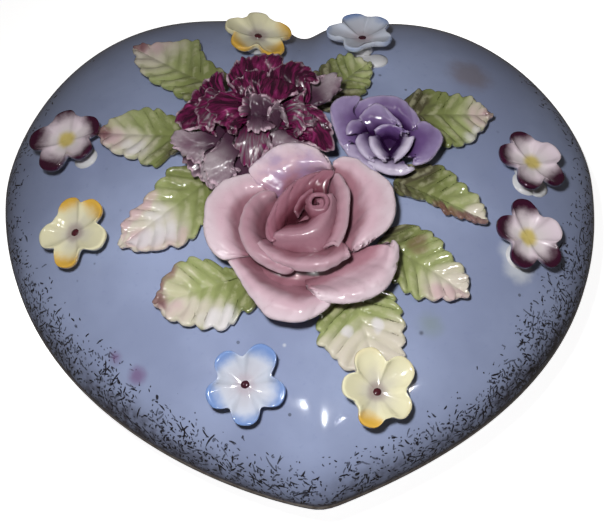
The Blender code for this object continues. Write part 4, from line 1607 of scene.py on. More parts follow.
@dataclass(frozen=True)
class FlowerGlaze:
    """A pale small-flower glaze with painted petal tips and a painted eye."""

    name: str
    heart: Colour
    body: Colour
    tip: Colour
    eye: Colour
    centre: Colour
    start: float = 1.2
    full: float = 1.5
    spread: float = 0.6
    white: Colour = (204, 204, 206)
    gloss: Gloss = Gloss(0.10, 0.18, 0.7, 220.0, 0.08)

    def make(self) -> bpy.types.Material:
        """Mix the glaze.

        Returns:
            The flowers' material.
        """
        palette = Palette(self.name)
        along = palette.paint("along")
        paint = palette.paint("paint")
        cloud = palette.noise(300.0, detail=3, roughness=0.6)
        ragged = palette.plus(along, palette.sway(cloud, 0.45))
        colour = palette.mix(palette.between(ragged, 0.15, 0.85), self.heart, self.body)
        near = palette.paint("near")
        middle = palette.between(palette.plus(near, palette.times(cloud, 0.16)), 0.22, 0.44, 0.95, 0.0)
        colour = palette.mix(middle, colour, self.centre)
        bound = palette.plus(palette.plus(near, palette.sway(cloud, 0.40)), palette.times(paint, self.spread))
        bound = palette.between(bound, self.start, self.full)
        painted = palette.times(bound, palette.between(paint, 0.0, 0.6))
        colour = palette.mix(painted, colour, self.tip)
        colour = palette.mix(palette.paint("slip"), colour, self.white)
        colour = palette.mix(palette.paint("eye"), colour, self.eye)
        return palette.finish(colour, cloud, self.gloss)


# What sits on the lid. Lengths are millimetres, bearings degrees.
ROSE_PETALS = (
    Sheet("back", (
        ((-6.2, 8.8, 6), (-3.9, 9.7, 6.2), (-1.4, 11.1, 6.4), (1.2, 12.3, 6.4), (3.9, 13.1, 6.4),
         (6.1, 13.2, 6.2)),
        ((-8.3, 10.2, 7.4), (-6.1, 11.9, 8), (-3, 13.2, 8.6), (0, 13.7, 8.8), (3.1, 13.5, 8.6),
         (5.9, 12.9, 7.6)),
        ((-10.7, 12.6, 7.2), (-8.2, 14.2, 8.4), (-5, 16.8, 9), (-1.6, 17.7, 9.2), (2.3, 16.8, 9),
         (4.9, 15, 8.2), (5.9, 13.7, 7.4)),
    ), tint=1.0),
    Sheet("right", (
        ((6.3, 13.2, 6.2), (8.3, 10.7, 5.8), (9.5, 7.9, 5.2), (9.9, 4.9, 4.8), (9.4, 1.5, 4.6),
         (8.5, -1.7, 4.6), (9.1, -3.8, 4.6)),
        ((6.1, 14.3, 7.2), (10.4, 12, 8), (13, 8.2, 8), (13.5, 4.6, 7.8), (12.8, 1.2, 7.4),
         (11.2, -1.6, 6.8), (9.8, -3.9, 5.8)),
        ((5.8, 15, 7.2), (8.4, 15.3, 7.6), (10.6, 14.4, 7.8), (13, 12.3, 7.8), (15.3, 10.6, 7.6),
         (16.7, 9.2, 7.4), (17.3, 6.5, 7), (17.4, 3.7, 6.6), (16.7, 1.6, 6.2), (15.3, -0.4, 6),
         (13.2, -1.9, 5.8), (10.8, -3.5, 5.4)),
    ), pale=0.5),
    Sheet("front_right", (
        ((12, -2.7, 4.4), (9.9, -4.4, 3.8), (7.6, -5.8, 3.4), (4.8, -7.2, 3.4), (2.6, -8.5, 3.6),
         (0.4, -10.4, 4)),
        ((15.3, -2.3, 5), (14.1, -4.5, 4.4), (11.6, -6.7, 4), (8.4, -8.4, 3.8), (5.4, -9.6, 3.8),
         (1, -11.4, 4.6)),
        ((16.3, -2.9, 5.8), (15.9, -6.2, 5.8), (13.9, -9.5, 5.8), (10.4, -12, 5.7), (6.5, -13.1, 5.6),
         (1.6, -12.5, 5.2)),
        ((15.5, -0.5, 5.4), (16.9, -1.9, 5.2), (17.5, -4.1, 5), (17.2, -6.3, 4.8), (16.4, -8.9, 4.6),
         (15.2, -11.1, 4.4), (13.3, -12.7, 4.4), (10.9, -13.8, 4.4), (8.1, -14.3, 4.4), (5.4, -14.4, 4.6),
         (3.2, -14, 4.8), (1, -12.8, 5)),
    )),
    Sheet("front_left", (
        ((-11.4, -2.6, 4), (-10.5, -5, 3.8), (-8.7, -7, 3.8), (-6.9, -8.5, 3.4), (-4.4, -9.8, 3.2),
         (-1.5, -10.8, 3.4), (1.2, -11.5, 3.6), (3.4, -11.2, 3.6)),
        ((-13.6, -3.8, 4.6), (-11.9, -6.6, 5), (-10.1, -9.6, 5.4), (-8, -12.4, 5.6), (-4.6, -14.7, 5.8),
         (-1.3, -15.6, 5.8), (2, -14.4, 5), (4.6, -13.2, 4.2)),
        ((-15, -3.4, 4.2), (-13.4, -5.6, 4.5), (-12.2, -7.8, 4.6), (-10.9, -10.4, 4.4),
         (-9.5, -12.7, 4.4), (-8.1, -14.9, 4.2), (-6.7, -16.6, 4.2), (-4.2, -17.5, 4.2), (-1, -17.8, 4.2),
         (1.4, -17, 4.2), (3.8, -15.2, 4), (5.8, -12.8, 3.8)),
    )),
    Sheet("left", (
        ((-5.4, 8.8, 6), (-8.4, 8.1, 5.2), (-10.5, 6.1, 4.6), (-11.5, 2.8, 4.4), (-11.2, -0.6, 4.2),
         (-9.9, -3.8, 4.2)),
        ((-7.2, 10, 7), (-10.8, 9.4, 7.4), (-13.6, 6.4, 7.4), (-14.7, 2.2, 7.2), (-14.2, -1.5, 6.6),
         (-12.3, -4.8, 5.6)),
        ((-7.6, 11, 6.8), (-10, 12.3, 7), (-12.2, 11.8, 7.2), (-14.7, 10.7, 7), (-16.5, 8.9, 6.8),
         (-17.7, 6.8, 6.6), (-18.1, 4, 6.2), (-18.1, 0.9, 6), (-17.5, -1.8, 5.8), (-16.3, -3.7, 5.4),
         (-14.5, -5, 5), (-13, -5.8, 4.8)),
    )),
    Sheet("bowl_left", (
        ((-4.3, 7.1, 6.8), (-6.6, 4.6, 6.4), (-7.4, 1.5, 6.2), (-6.9, -1.7, 6.2), (-4.9, -4.2, 6.4),
         (-2.1, -6.1, 6.6)),
        ((-5.2, 7.5, 8.4), (-8.2, 5.8, 8.8), (-9.9, 2.9, 9), (-10.5, -0.5, 9), (-9.6, -3.6, 8.8),
         (-7.1, -6.4, 8.4), (-3.9, -8.3, 8), (-1.2, -8.8, 7.6)),
        ((-5.9, 8.1, 8.2), (-8.3, 7, 8.6), (-9.8, 5.2, 8.8), (-11, 2.6, 8.8), (-11.6, -0.2, 8.6),
         (-11.2, -2.9, 8.4), (-10, -5.4, 8), (-8.1, -7.2, 7.4), (-5.7, -8.5, 7), (-3.2, -9.3, 6.8),
         (-0.7, -9, 6.8)),
    ), dark=0.62),
    Sheet("bowl_front", (
        ((-7.4, -2.4, 7.4), (-4.9, -4.3, 7.6), (-2.2, -5.6, 7.8), (0.6, -6.1, 7.8), (3.4, -6.1, 8),
         (5.7, -5.2, 8.2), (7.2, -3.9, 8.4)),
        ((-8.5, -3.5, 8.6), (-6.4, -6, 8.8), (-3.5, -7.9, 9), (-0.1, -8.8, 9), (3.3, -8.8, 9.2),
         (6.2, -7.7, 9.2), (8.6, -6.2, 9)),
        ((-9.2, -2.8, 8.2), (-7.5, -5.2, 8.2), (-5.2, -7.2, 8), (-2.5, -8.5, 7.8), (0.2, -9.4, 7.8),
         (2.9, -9.5, 7.8), (5.6, -8.4, 8), (7.8, -7.2, 8.2), (9.3, -6.1, 8.4)),
    ), dark=0.42),
    Sheet("bowl_right", (
        ((5.6, 10.1, 8.6), (6, 7.1, 8.4), (6.1, 3.7, 8.2), (5.6, 0.6, 8), (4.8, -2.2, 7.8),
         (3.4, -4.9, 7.8)),
        ((6.1, 10, 10), (7.3, 7.7, 10.2), (7.8, 4.5, 10), (7.4, 1.2, 9.8), (6.6, -1.9, 9.4),
         (5.4, -4.8, 9)),
        ((6.7, 10.7, 10), (7.9, 8.6, 10), (8.9, 6, 10), (8.8, 3.3, 9.8), (8.5, 0.6, 9.4), (7.9, -2, 9),
         (6.9, -4.2, 8.6), (5.7, -6, 8.4)),
    ), dark=0.55),
    Sheet("cup_back", (
        ((4.5, 5.2, 8.8), (2.7, 6.1, 8.8), (0.6, 5, 8.6), (-1.3, 3, 8.4), (-3, 0.8, 8.2),
         (-4.1, -1.5, 8.2)),
        ((5.1, 8, 10.4), (2.9, 8, 10.6), (0.3, 6.8, 10.6), (-1.9, 4.7, 10.6), (-3.6, 2.4, 10.2),
         (-5, -0.7, 9.8), (-5.1, -3.5, 9.4)),
        ((7.6, 9.4, 10.8), (5.6, 10.1, 11.2), (3.2, 9.6, 11.4), (0.4, 8.5, 11.6), (-2.1, 6.6, 11.6),
         (-3.9, 4.6, 11.4), (-5.5, 1.9, 11), (-6.6, -0.8, 10.4), (-6.5, -3.4, 9.8), (-4.9, -5, 9.2)),
    ), dark=1.0, shade=(0.2, 0.55, 0.8)),
    Sheet("cup_front", (
        ((-4.6, -4, 6.8), (-1.9, -5.4, 6.8), (0.8, -5.7, 6.8), (3.4, -5.3, 7), (5.1, -3.3, 7.2),
         (6.1, -0.4, 7.6), (6.4, 2.8, 8)),
        ((-5.6, -3.3, 8.8), (-2.7, -4.1, 9), (0.2, -4.1, 9.2), (2.9, -3.3, 9.4), (4.6, -1.4, 9.6),
         (5.6, 1.7, 9.8), (5.9, 4.6, 10)),
        ((-5, -2.9, 10.2), (-2.7, -3.1, 10.4), (-0.2, -3.1, 10.6), (2, -2.2, 10.8), (3.9, -0.3, 11),
         (4.9, 2.3, 11.2), (5.2, 4.7, 11.2)),
        ((-3.9, -1.8, 9.8), (-1.9, -1.8, 10), (0.1, -1.8, 10.2), (1.7, -0.9, 10.4), (3.2, 0.8, 10.6),
         (4, 3, 10.8), (4.3, 4.8, 10.8)),
        ((-2.6, 0.2, 8.2), (-0.8, 0.3, 8.2), (0.7, 0.9, 8.2), (2, 2.1, 8.2), (2.8, 3.9, 8.2),
         (3.2, 5.6, 8.2)),
    ), dark=0.85, root=None, shade=(0.45, 0.62, 0.85, 0.5, 0.05)),
    Sheet("inner_back", (
        ((-0.8, 1.4, 8.6), (0.6, 3.6, 8.8), (2.2, 5, 9)),
        ((-1.4, 2.2, 9.6), (0.1, 4.6, 10), (2.2, 6.2, 10.2)),
        ((-1.6, 2.6, 9.8), (-0.1, 5, 10.4), (2.2, 6.8, 10.6)),
    ), dark=1.0, shade=(0.1, 0.4, 0.6), root=None),
    Sheet("bud", (
        ((1, 2.6, 8.4), (2, 0.9, 8.4), (3.9, 0.9, 8.4), (4.9, 2.7, 8.4), (3.9, 4.4, 8.4), (2, 4.4, 8.4),
         (1, 2.6, 8.4), (2, 1.5, 8.4), (3.5, 1.7, 8.4), (3.6, 3.1, 8.4), (2.6, 3.3, 8.4)),
        ((0.8, 2.8, 10.6), (1.9, 0.9, 10.8), (4, 0.8, 10.8), (5, 2.8, 10.8), (3.9, 4.7, 10.9),
         (2, 4.7, 10.9), (1, 3, 10.9), (1.9, 1.6, 10.9), (3.5, 1.8, 10.9), (3.7, 3.2, 11),
         (2.7, 3.4, 11)),
        ((1.4, 2.8, 11.8), (2.2, 1.5, 12), (3.7, 1.4, 12), (4.4, 2.8, 12), (3.6, 4.1, 12.1),
         (2.2, 4.1, 12.1), (1.5, 3, 12), (2.1, 1.9, 11.9), (3.4, 2, 11.9), (3.5, 3.1, 11.9),
         (2.8, 3.3, 11.9)),
    ), dark=1.0, shade=(0.2, 0.5, 0.62), root=None),
)

ROSE = Blossom(
    node="rose", slot="rose_glaze", spot=Spot(270.1, 0.327), petals=ROSE_PETALS,
    core=((0.0, -0.3), (6.3, -0.6), (7.4, 1.2), (10.6, 2.3), (11.6, 3.1), (9.0, 3.9), (6.6, 5.2), (4.8, 6.4),
          (0.0, 6.8)),
)

CARNATION_PETALS = (
    Sheet("back", (
        ((-3.3, 3.9, 8.4), (-0.6, 4.5, 8.8), (2.1, 5.3, 8.8), (4, 6.3, 8.6)),
        ((-4.8, 5.9, 9.6), (-2.4, 7.3, 10.2), (0.3, 8.2, 10.4), (2.9, 8.7, 10.2), (5, 8.7, 9.8)),
        ((-5.5, 6.9, 9.6), (-4.1, 8.7, 10.2), (-2.4, 10.1, 10.8), (0.1, 11.1, 11), (2.6, 11.7, 11),
         (4.9, 11.5, 10.6), (6.6, 11.1, 10)),
    ), dark=1.0),
    Sheet("back_right", (
        ((3.2, 5, 8.6), (5.8, 3.8, 8.8), (8.5, 3, 8.8), (10.8, 3, 8.4)),
        ((2.7, 5.4, 10), (5.4, 6.1, 10.8), (8.2, 6.3, 11), (10.7, 5.3, 10.4)),
        ((2.1, 5.9, 10.2), (3.9, 8, 10.8), (6.2, 9.1, 11.2), (8.5, 9.5, 11.4), (10.6, 8.4, 11.2),
         (11.8, 6.7, 10.6), (12.5, 4.2, 9.8)),
    ), dark=0.9),
    Sheet("fold_right", (
        ((1.7, 6.3, 10.4), (4.2, 5.7, 10.8), (6.7, 4.4, 10.8), (8.9, 3.5, 10.4)),
        ((1, 3.8, 11.6), (2.8, 2, 12), (4.9, 1.3, 12), (7.4, 1.9, 11.6), (9.1, 2.8, 11)),
        ((0.8, 2.4, 11.6), (2.3, 0.7, 11.9), (4.1, -0.5, 11.9), (6, 0.6, 11.6), (8.3, 2, 11.2)),
    ), dark=1.0),
    Sheet("side_right_inner", (
        ((6.2, 1.3, 9), (6.9, -1.5, 9), (7.7, -3.7, 8.8)),
        ((8.5, 1.8, 10.2), (9.2, -0.4, 10), (10.6, -2.1, 9.4), (11.7, -3.8, 8.8)),
        ((10.6, 4, 10.2), (8.8, 1.7, 10.6), (8.2, -0.2, 10.4), (9.7, -1.4, 10), (11.7, -2.2, 9.4)),
    ), dark=0.5),
    Sheet("side_right", (
        ((6.1, 0.6, 7.4), (6.8, -2.1, 7.2), (6.4, -4.5, 6.8)),
        ((9.4, 0.9, 8.8), (10.8, -1.8, 8.6), (10.9, -4.6, 8), (9.2, -5.7, 7)),
        ((11.1, 1, 9.2), (12.9, -0.9, 9.2), (14.5, -3.7, 8.8), (15, -6.2, 8.2), (14.2, -8.6, 7.4),
         (11.9, -7.7, 6.8), (9.4, -5.9, 6.6), (6.8, -4.4, 6.6)),
    ), dark=0.75),
    Sheet("front_right", (
        ((2.7, -1.8, 7), (4.5, -2.8, 7), (6.6, -3.6, 6.8)),
        ((1.5, -4.1, 7), (4.1, -4.9, 6.8), (6.9, -5.6, 6.4), (9.3, -6.4, 6)),
        ((0.7, -5.4, 6.4), (3.3, -6.5, 5.8), (6.7, -7.5, 5.4), (10, -7.9, 5.2), (12.7, -7.7, 5.4)),
    ), dark=0.15),
    Sheet("left_inner", (
        ((-1.4, 2, 9.6), (-1.4, -0.7, 9.6), (-1.8, -3.2, 9.2)),
        ((-4, 2.2, 11.4), (-5.1, -0.5, 11.4), (-4.6, -3, 11), (-3.1, -5.2, 10.2)),
        ((-5.5, 3.3, 11.2), (-7.6, 1.7, 11), (-8.5, -0.1, 10.6), (-7.4, -2.3, 10.2), (-5.4, -4.6, 9.8),
         (-3.2, -6.8, 9.2)),
    ), dark=0.95),
    Sheet("left_outer", (
        ((-7.1, 4.3, 8), (-7.5, 1.1, 8), (-6.8, -2, 7.8)),
        ((-9.1, 3.7, 9.6), (-10.5, 1.1, 9.4), (-10.5, -1.8, 9), (-8.6, -4.1, 8.6)),
        ((-8.6, 6, 9.6), (-10.1, 4.8, 9.8), (-11.8, 3.1, 9.6), (-13.1, 1.3, 9.2), (-14.3, -0.7, 8.6),
         (-14.3, -2.5, 8.2), (-13.2, -3.8, 8), (-10.7, -3.6, 8.2), (-7.9, -4.7, 8.4), (-5.3, -6.2, 8.4)),
    ), dark=0.85),
    Sheet("back_left", (
        ((-4.8, 3.5, 8.4), (-6.2, 2.7, 8.2), (-7.1, 1.5, 8)),
        ((-5.9, 6.1, 9.4), (-7.6, 5.3, 9.2), (-9, 3.8, 8.8)),
        ((-5.1, 8.7, 9.6), (-6.7, 8.8, 9.6), (-8.2, 8, 9.4), (-9.4, 6.5, 9), (-10.1, 4.9, 8.6)),
    ), dark=0.8),
    Sheet("centre_left", (
        ((-0.3, -2.1, 9.6), (-0.3, 0, 9.8), (0.2, 2.2, 10)),
        ((-1.4, -2.9, 11.4), (-1.3, -0.5, 11.8), (-0.7, 2.1, 12)),
        ((-1.9, -3.4, 11.4), (-2.1, -0.9, 11.8), (-1.5, 1.7, 12), (-0.3, 3.7, 11.8)),
    ), dark=0.35, shade=(0.25, 0.45, 0.7)),
    Sheet("centre_back", (
        ((-0.7, -2, 10), (1.6, -1.6, 10), (3.9, -1.2, 10)),
        ((-1, -0.6, 11.4), (1.5, -0.1, 11.8), (4.1, -0.4, 11.4)),
        ((-0.9, 0.7, 11.8), (1.3, 1.2, 12.2), (3.8, 0.8, 11.8), (5, -0.2, 11.2)),
    ), dark=0.1, shade=(0.25, 0.45, 0.7)),
    Sheet("centre_fold", (
        ((3, -4.1, 9.6), (4.6, -3.4, 9.8), (5.7, -1.7, 10)),
        ((2.7, -3.1, 11.4), (4.1, -2, 11.8), (5.2, -1, 11.6)),
        ((2.4, -2.9, 11.8), (3.5, -1.6, 12.2), (4.9, -0.6, 12), (5.8, -1.8, 11.4), (6.3, -3.8, 10.4),
         (6.4, -5.4, 9.4)),
    ), dark=0.15, shade=(0.25, 0.45, 0.7)),
    Sheet("centre_front", (
        ((-1.1, -2, 9.4), (0.8, -1.7, 9.6), (2.7, -2.1, 9.4)),
        ((-1, -4.2, 10.6), (0.8, -4.1, 11), (2.9, -4.3, 10.6)),
        ((-2, -4.5, 10.4), (-0.7, -5.6, 10.6), (1.2, -6, 10.8), (3.2, -5.5, 10.4), (4.5, -4.4, 10)),
    ), dark=0.25, shade=(0.25, 0.45, 0.7)),
    Sheet("front", (
        ((-2.6, -4.2, 8), (0, -3.6, 8.4), (3, -3.6, 8.2)),
        ((-3.8, -6.6, 7.6), (-0.8, -6.8, 7.8), (2.6, -5.9, 7.6)),
        ((-4.2, -7.1, 6.4), (-2.8, -9.2, 5.8), (-0.9, -10.6, 5.4), (1.4, -8.9, 5.8), (4.2, -7.2, 6.4)),
    ), dark=0.45),
    Sheet("front_left_inner", (
        ((-5.3, -4.1, 7.4), (-3.8, -5.8, 7.2), (-2.7, -7.4, 6.8)),
        ((-7.2, -7.1, 7.2), (-6.1, -9.4, 6.6), (-4.3, -10.9, 6)),
        ((-9.1, -8.1, 6.8), (-9.5, -10.7, 6), (-8.8, -13.1, 5.2), (-7, -14, 4.8), (-4.4, -12.8, 4.8),
         (-1.7, -10.8, 5)),
    ), dark=0.1),
    Sheet("front_left", (
        ((-7.6, -2.5, 7.2), (-7.6, -4.2, 7), (-6.9, -5.9, 6.8)),
        ((-11.4, -3.8, 7.2), (-11.7, -5.8, 6.8), (-9.9, -7.8, 6.4)),
        ((-14, -2.4, 7.4), (-15.7, -4, 6.8), (-15.9, -5.4, 6.2), (-14.4, -6.8, 5.8), (-12.8, -8.1, 5.6),
         (-10.7, -8.9, 5.4), (-8.4, -9, 5.4)),
    ), dark=0.2),
    Sheet("under_left", (
        ((-8.1, -5.6, 5), (-7, -7.7, 4.8), (-5.1, -9.9, 4.6)),
        ((-10, -8.2, 5), (-9.2, -10.7, 4.6), (-7.4, -12.7, 4.2)),
        ((-10.4, -9.2, 4.4), (-10, -11.6, 4), (-8.9, -13.5, 3.8), (-7, -14.3, 3.8)),
    ), dark=0.0),
    Sheet("under_front", (
        ((-9, -3, 4.8), (-8, -6, 4.6), (-4, -8, 4.4), (0, -8, 4.4), (4, -6.5, 4.6)),
        ((-13, -5.5, 4.2), (-10.5, -8.5, 3.9), (-5.5, -11.2, 3.6), (-0.5, -11.6, 3.6), (5.5, -8.5, 4)),
        ((-14.6, -6.8, 3.6), (-12.2, -10.2, 3.2), (-7.2, -13.6, 3), (-1, -14.2, 3), (6, -10.6, 3.4)),
    ), dark=0.12, shade=(0.3, 0.42, 0.6)),
    Sheet("back_middle", (
        ((-2.4, 2, 9.2), (0.2, 2.6, 9.4), (2.6, 3, 9.4)),
        ((-3.6, 3.6, 10.8), (-0.8, 4.7, 11.2), (2.4, 5.4, 11)),
        ((-4.6, 4.4, 10.6), (-2.4, 6.4, 11.2), (0.6, 7.2, 11.4), (3.6, 7.2, 10.8)),
    ), dark=0.8),
    Sheet("left_middle", (
        ((-3.6, 3, 9), (-4.2, 0.2, 9), (-4.2, -2.6, 8.8)),
        ((-7, 3.6, 10.2), (-8.2, 0.4, 10.2), (-7.4, -3.2, 9.6)),
        ((-7.4, 4.8, 10.2), (-9.8, 2.2, 10.2), (-10.8, -0.6, 9.8), (-9.8, -3.2, 9.4), (-7.2, -5.2, 9.2)),
    ), dark=0.6),
    Sheet("right_middle", (
        ((5.2, 0.6, 8.6), (6, -1.6, 8.6), (5.6, -3.8, 8.2)),
        ((7, 1, 10.4), (8, -1.8, 10.2), (7.8, -4.6, 9.4)),
        ((7.4, 1.8, 10.8), (9.2, -0.8, 10.4), (9.8, -3.6, 9.8), (9, -5.8, 8.8), (7.2, -6.4, 8.2)),
    ), dark=0.55),
    Sheet("under_back", (
        ((8.2, 5.5, 7), (10.8, 4.4, 7), (12.3, 2.2, 6.8)),
        ((11.3, 7.3, 7.6), (13.6, 6, 7.4), (14.6, 3.4, 7)),
        ((13.3, 8.7, 7.6), (15.4, 9.2, 7.4), (16.9, 7.6, 7), (16.8, 6, 6.6), (15.4, 4.6, 6.6)),
    ), dark=0.0),
)

CARNATION = Blossom(
    node="carnation", slot="carnation_glaze", spot=Spot(154.5, 0.157), petals=CARNATION_PETALS,
    core_dark=0.9,
    core=((0.0, -0.3), (5.6, -0.3), (6.6, 2.0), (7.2, 4.6), (6.6, 6.6), (4.6, 8.2), (0.0, 8.8)),
    thickness=0.75, frill=Frill(0.42, 0.24, 0.6), columns=70, rows=24,
)

VIOLET_ROSE_PETALS = (
    Sheet("back", (
        ((-5.2, 2.4, 4.4), (-3.5, 3.7, 4.6), (-0.8, 4.2, 4.8), (1.9, 3.6, 4.8), (3.7, 2.5, 4.6),
         (5.2, 0.6, 4.2)),
        ((-6.6, 4.2, 5.4), (-3.8, 5.5, 6), (-0.8, 5.8, 6.4), (2.3, 5.2, 6.2), (4.3, 3.5, 5.8),
         (6.4, 1.2, 4.8)),
        ((-7.4, 5.8, 5.6), (-4.4, 7, 6.2), (-1.8, 7.6, 6.6), (0.9, 7.7, 6.6), (3.2, 7.1, 6.4),
         (5.4, 5, 5.8), (7.2, 2, 4.8)),
    ), pale=0.1),
    Sheet("left", (
        ((-3.6, 1.8, 4.6), (-4.5, -0.5, 4.6), (-4.2, -3, 4.2)),
        ((-6.2, 4.5, 6.2), (-7.1, 1.3, 6.2), (-6.8, -2, 5.6)),
        ((-3.4, 7.6, 6.4), (-6.1, 7.8, 6.8), (-8.4, 7.4, 6.8), (-10.2, 5.8, 6.6), (-10.3, 2.8, 6.2),
         (-9.6, -0.2, 5.8), (-8.6, -2.8, 5.2), (-6.6, -5.1, 4.8)),
    ), pale=0.1),
    Sheet("right", (
        ((3.6, 0.2, 4.6), (4.2, -2.5, 4.4), (3.3, -5, 4.2)),
        ((6.2, 0.2, 5.8), (7.2, -2.9, 5.6), (5.5, -5.6, 5)),
        ((5.1, 1.6, 5.8), (7.4, 1.9, 6), (9.1, 0.8, 5.8), (10.6, -0.5, 5.6), (10.8, -2.1, 5.2),
         (9.8, -4.1, 4.8), (8.4, -5.8, 4.4), (6.2, -6.9, 4.2), (3.8, -6.9, 4.2)),
    ), pale=0.05),
    Sheet("front", (
        ((-2.8, -4.5, 4.4), (-0.2, -5.5, 4.4), (2.9, -5.8, 4.4)),
        ((-3.6, -6.4, 5.2), (-0.3, -7.8, 5.2), (3.5, -7.8, 5)),
        ((-4.4, -6.4, 4.6), (-2.2, -7.9, 4.4), (0.4, -9, 4.2), (3, -9.1, 4.2), (5.8, -7.4, 4.2)),
    ), pale=0.9),
    Sheet("front_left", (
        ((-4.5, -1.8, 4.6), (-3.5, -3.7, 4.6), (-1.7, -5.5, 4.4)),
        ((-6.5, -2.8, 5.4), (-5.1, -5.4, 5.2), (-2.9, -7, 4.8)),
        ((-8.6, -2, 5.4), (-7.7, -4.2, 4.8), (-5.9, -6.2, 4.4), (-3.3, -7.8, 4.2), (-1.1, -8.4, 4)),
    ), pale=0.45),
    Sheet("peak", (
        ((-3, -0.6, 6), (-0.7, 0.2, 6.2), (2, -0.4, 6.2)),
        ((-4.5, 1.2, 7.8), (-1, 2, 8.2), (1.9, 0.6, 7.8)),
        ((-5.6, 1.6, 7.6), (-3.6, 3.5, 8.2), (-1.5, 4.4, 8.8), (-0.2, 3.8, 8.6), (1.1, 2.5, 8),
         (2.5, 0.7, 7.6), (3.6, -0.9, 7.2)),
    ), pale=0.15),
    Sheet("curl_left", (
        ((-4.5, -0.8, 5.8), (-3.3, 0.4, 6), (-2.5, 1.1, 6.2)),
        ((-6.5, -1.3, 7.2), (-6, 0.1, 7.6), (-4.5, 0.9, 7.6)),
        ((-7.6, -1.9, 6.8), (-7.6, -0.2, 7.4), (-6.7, 1.2, 7.6), (-5, 1.6, 7.6), (-3.3, 0.9, 7.2)),
    ), pale=0.2),
    Sheet("blade_outer", (
        ((-3, -0.3, 5.6), (-2.3, -2.9, 5.4), (-0.9, -5.6, 5.2)),
        ((-5, -1.6, 7), (-4.7, -4.2, 6.8), (-3.3, -6.4, 6.2)),
        ((-6.1, -2.4, 6.8), (-5.5, -4.6, 6.4), (-4, -6.4, 6), (-2, -7.3, 5.8)),
    ), pale=0.6),
    Sheet("blade_left", (
        ((-1.5, -1.2, 6.2), (-0.9, -3.5, 6.2), (0.5, -6.3, 6.2)),
        ((-3, -2.8, 8), (-2.3, -5.4, 7.8), (-0.8, -7.6, 7.2)),
        ((-3.5, -2.4, 8), (-3.3, -5, 7.8), (-2, -7, 7.4), (0.2, -8.1, 7)),
    ), pale=1.0),
    Sheet("blade_right", (
        ((3.5, -0.8, 6), (2.4, -3.5, 6), (0.7, -6.1, 6)),
        ((4.6, -3, 7.8), (3.3, -5.5, 7.6), (1.1, -7.9, 7.2)),
        ((5.4, -2.3, 7.8), (4.5, -4.9, 7.6), (2.8, -7, 7.2), (0.7, -8.4, 7)),
    ), pale=1.0),
    Sheet("inner_back", (
        ((-1.5, -1.5, 6), (0.4, -0.9, 6), (2.7, -1.7, 6)),
        ((-2.3, -0.9, 7.2), (0.4, -0.2, 7.6), (3.2, -0.9, 7.2)),
        ((-2.7, -1.1, 7.4), (-1.1, 0, 7.8), (1.2, 0.1, 7.8), (3.4, -0.9, 7.2), (4.7, -2.2, 7)),
    ), pale=0.0),
)

VIOLET_ROSE = Blossom(
    node="violet_rose", slot="violet_glaze", spot=Spot(3.2, 0.275), petals=VIOLET_ROSE_PETALS,
    core=((0.0, -0.3), (4.1, -0.3), (4.8, 1.4), (4.9, 3.0), (4.2, 4.2), (2.6, 5.0), (0.0, 5.3)),
    thickness=0.75, columns=44, rows=26,
)

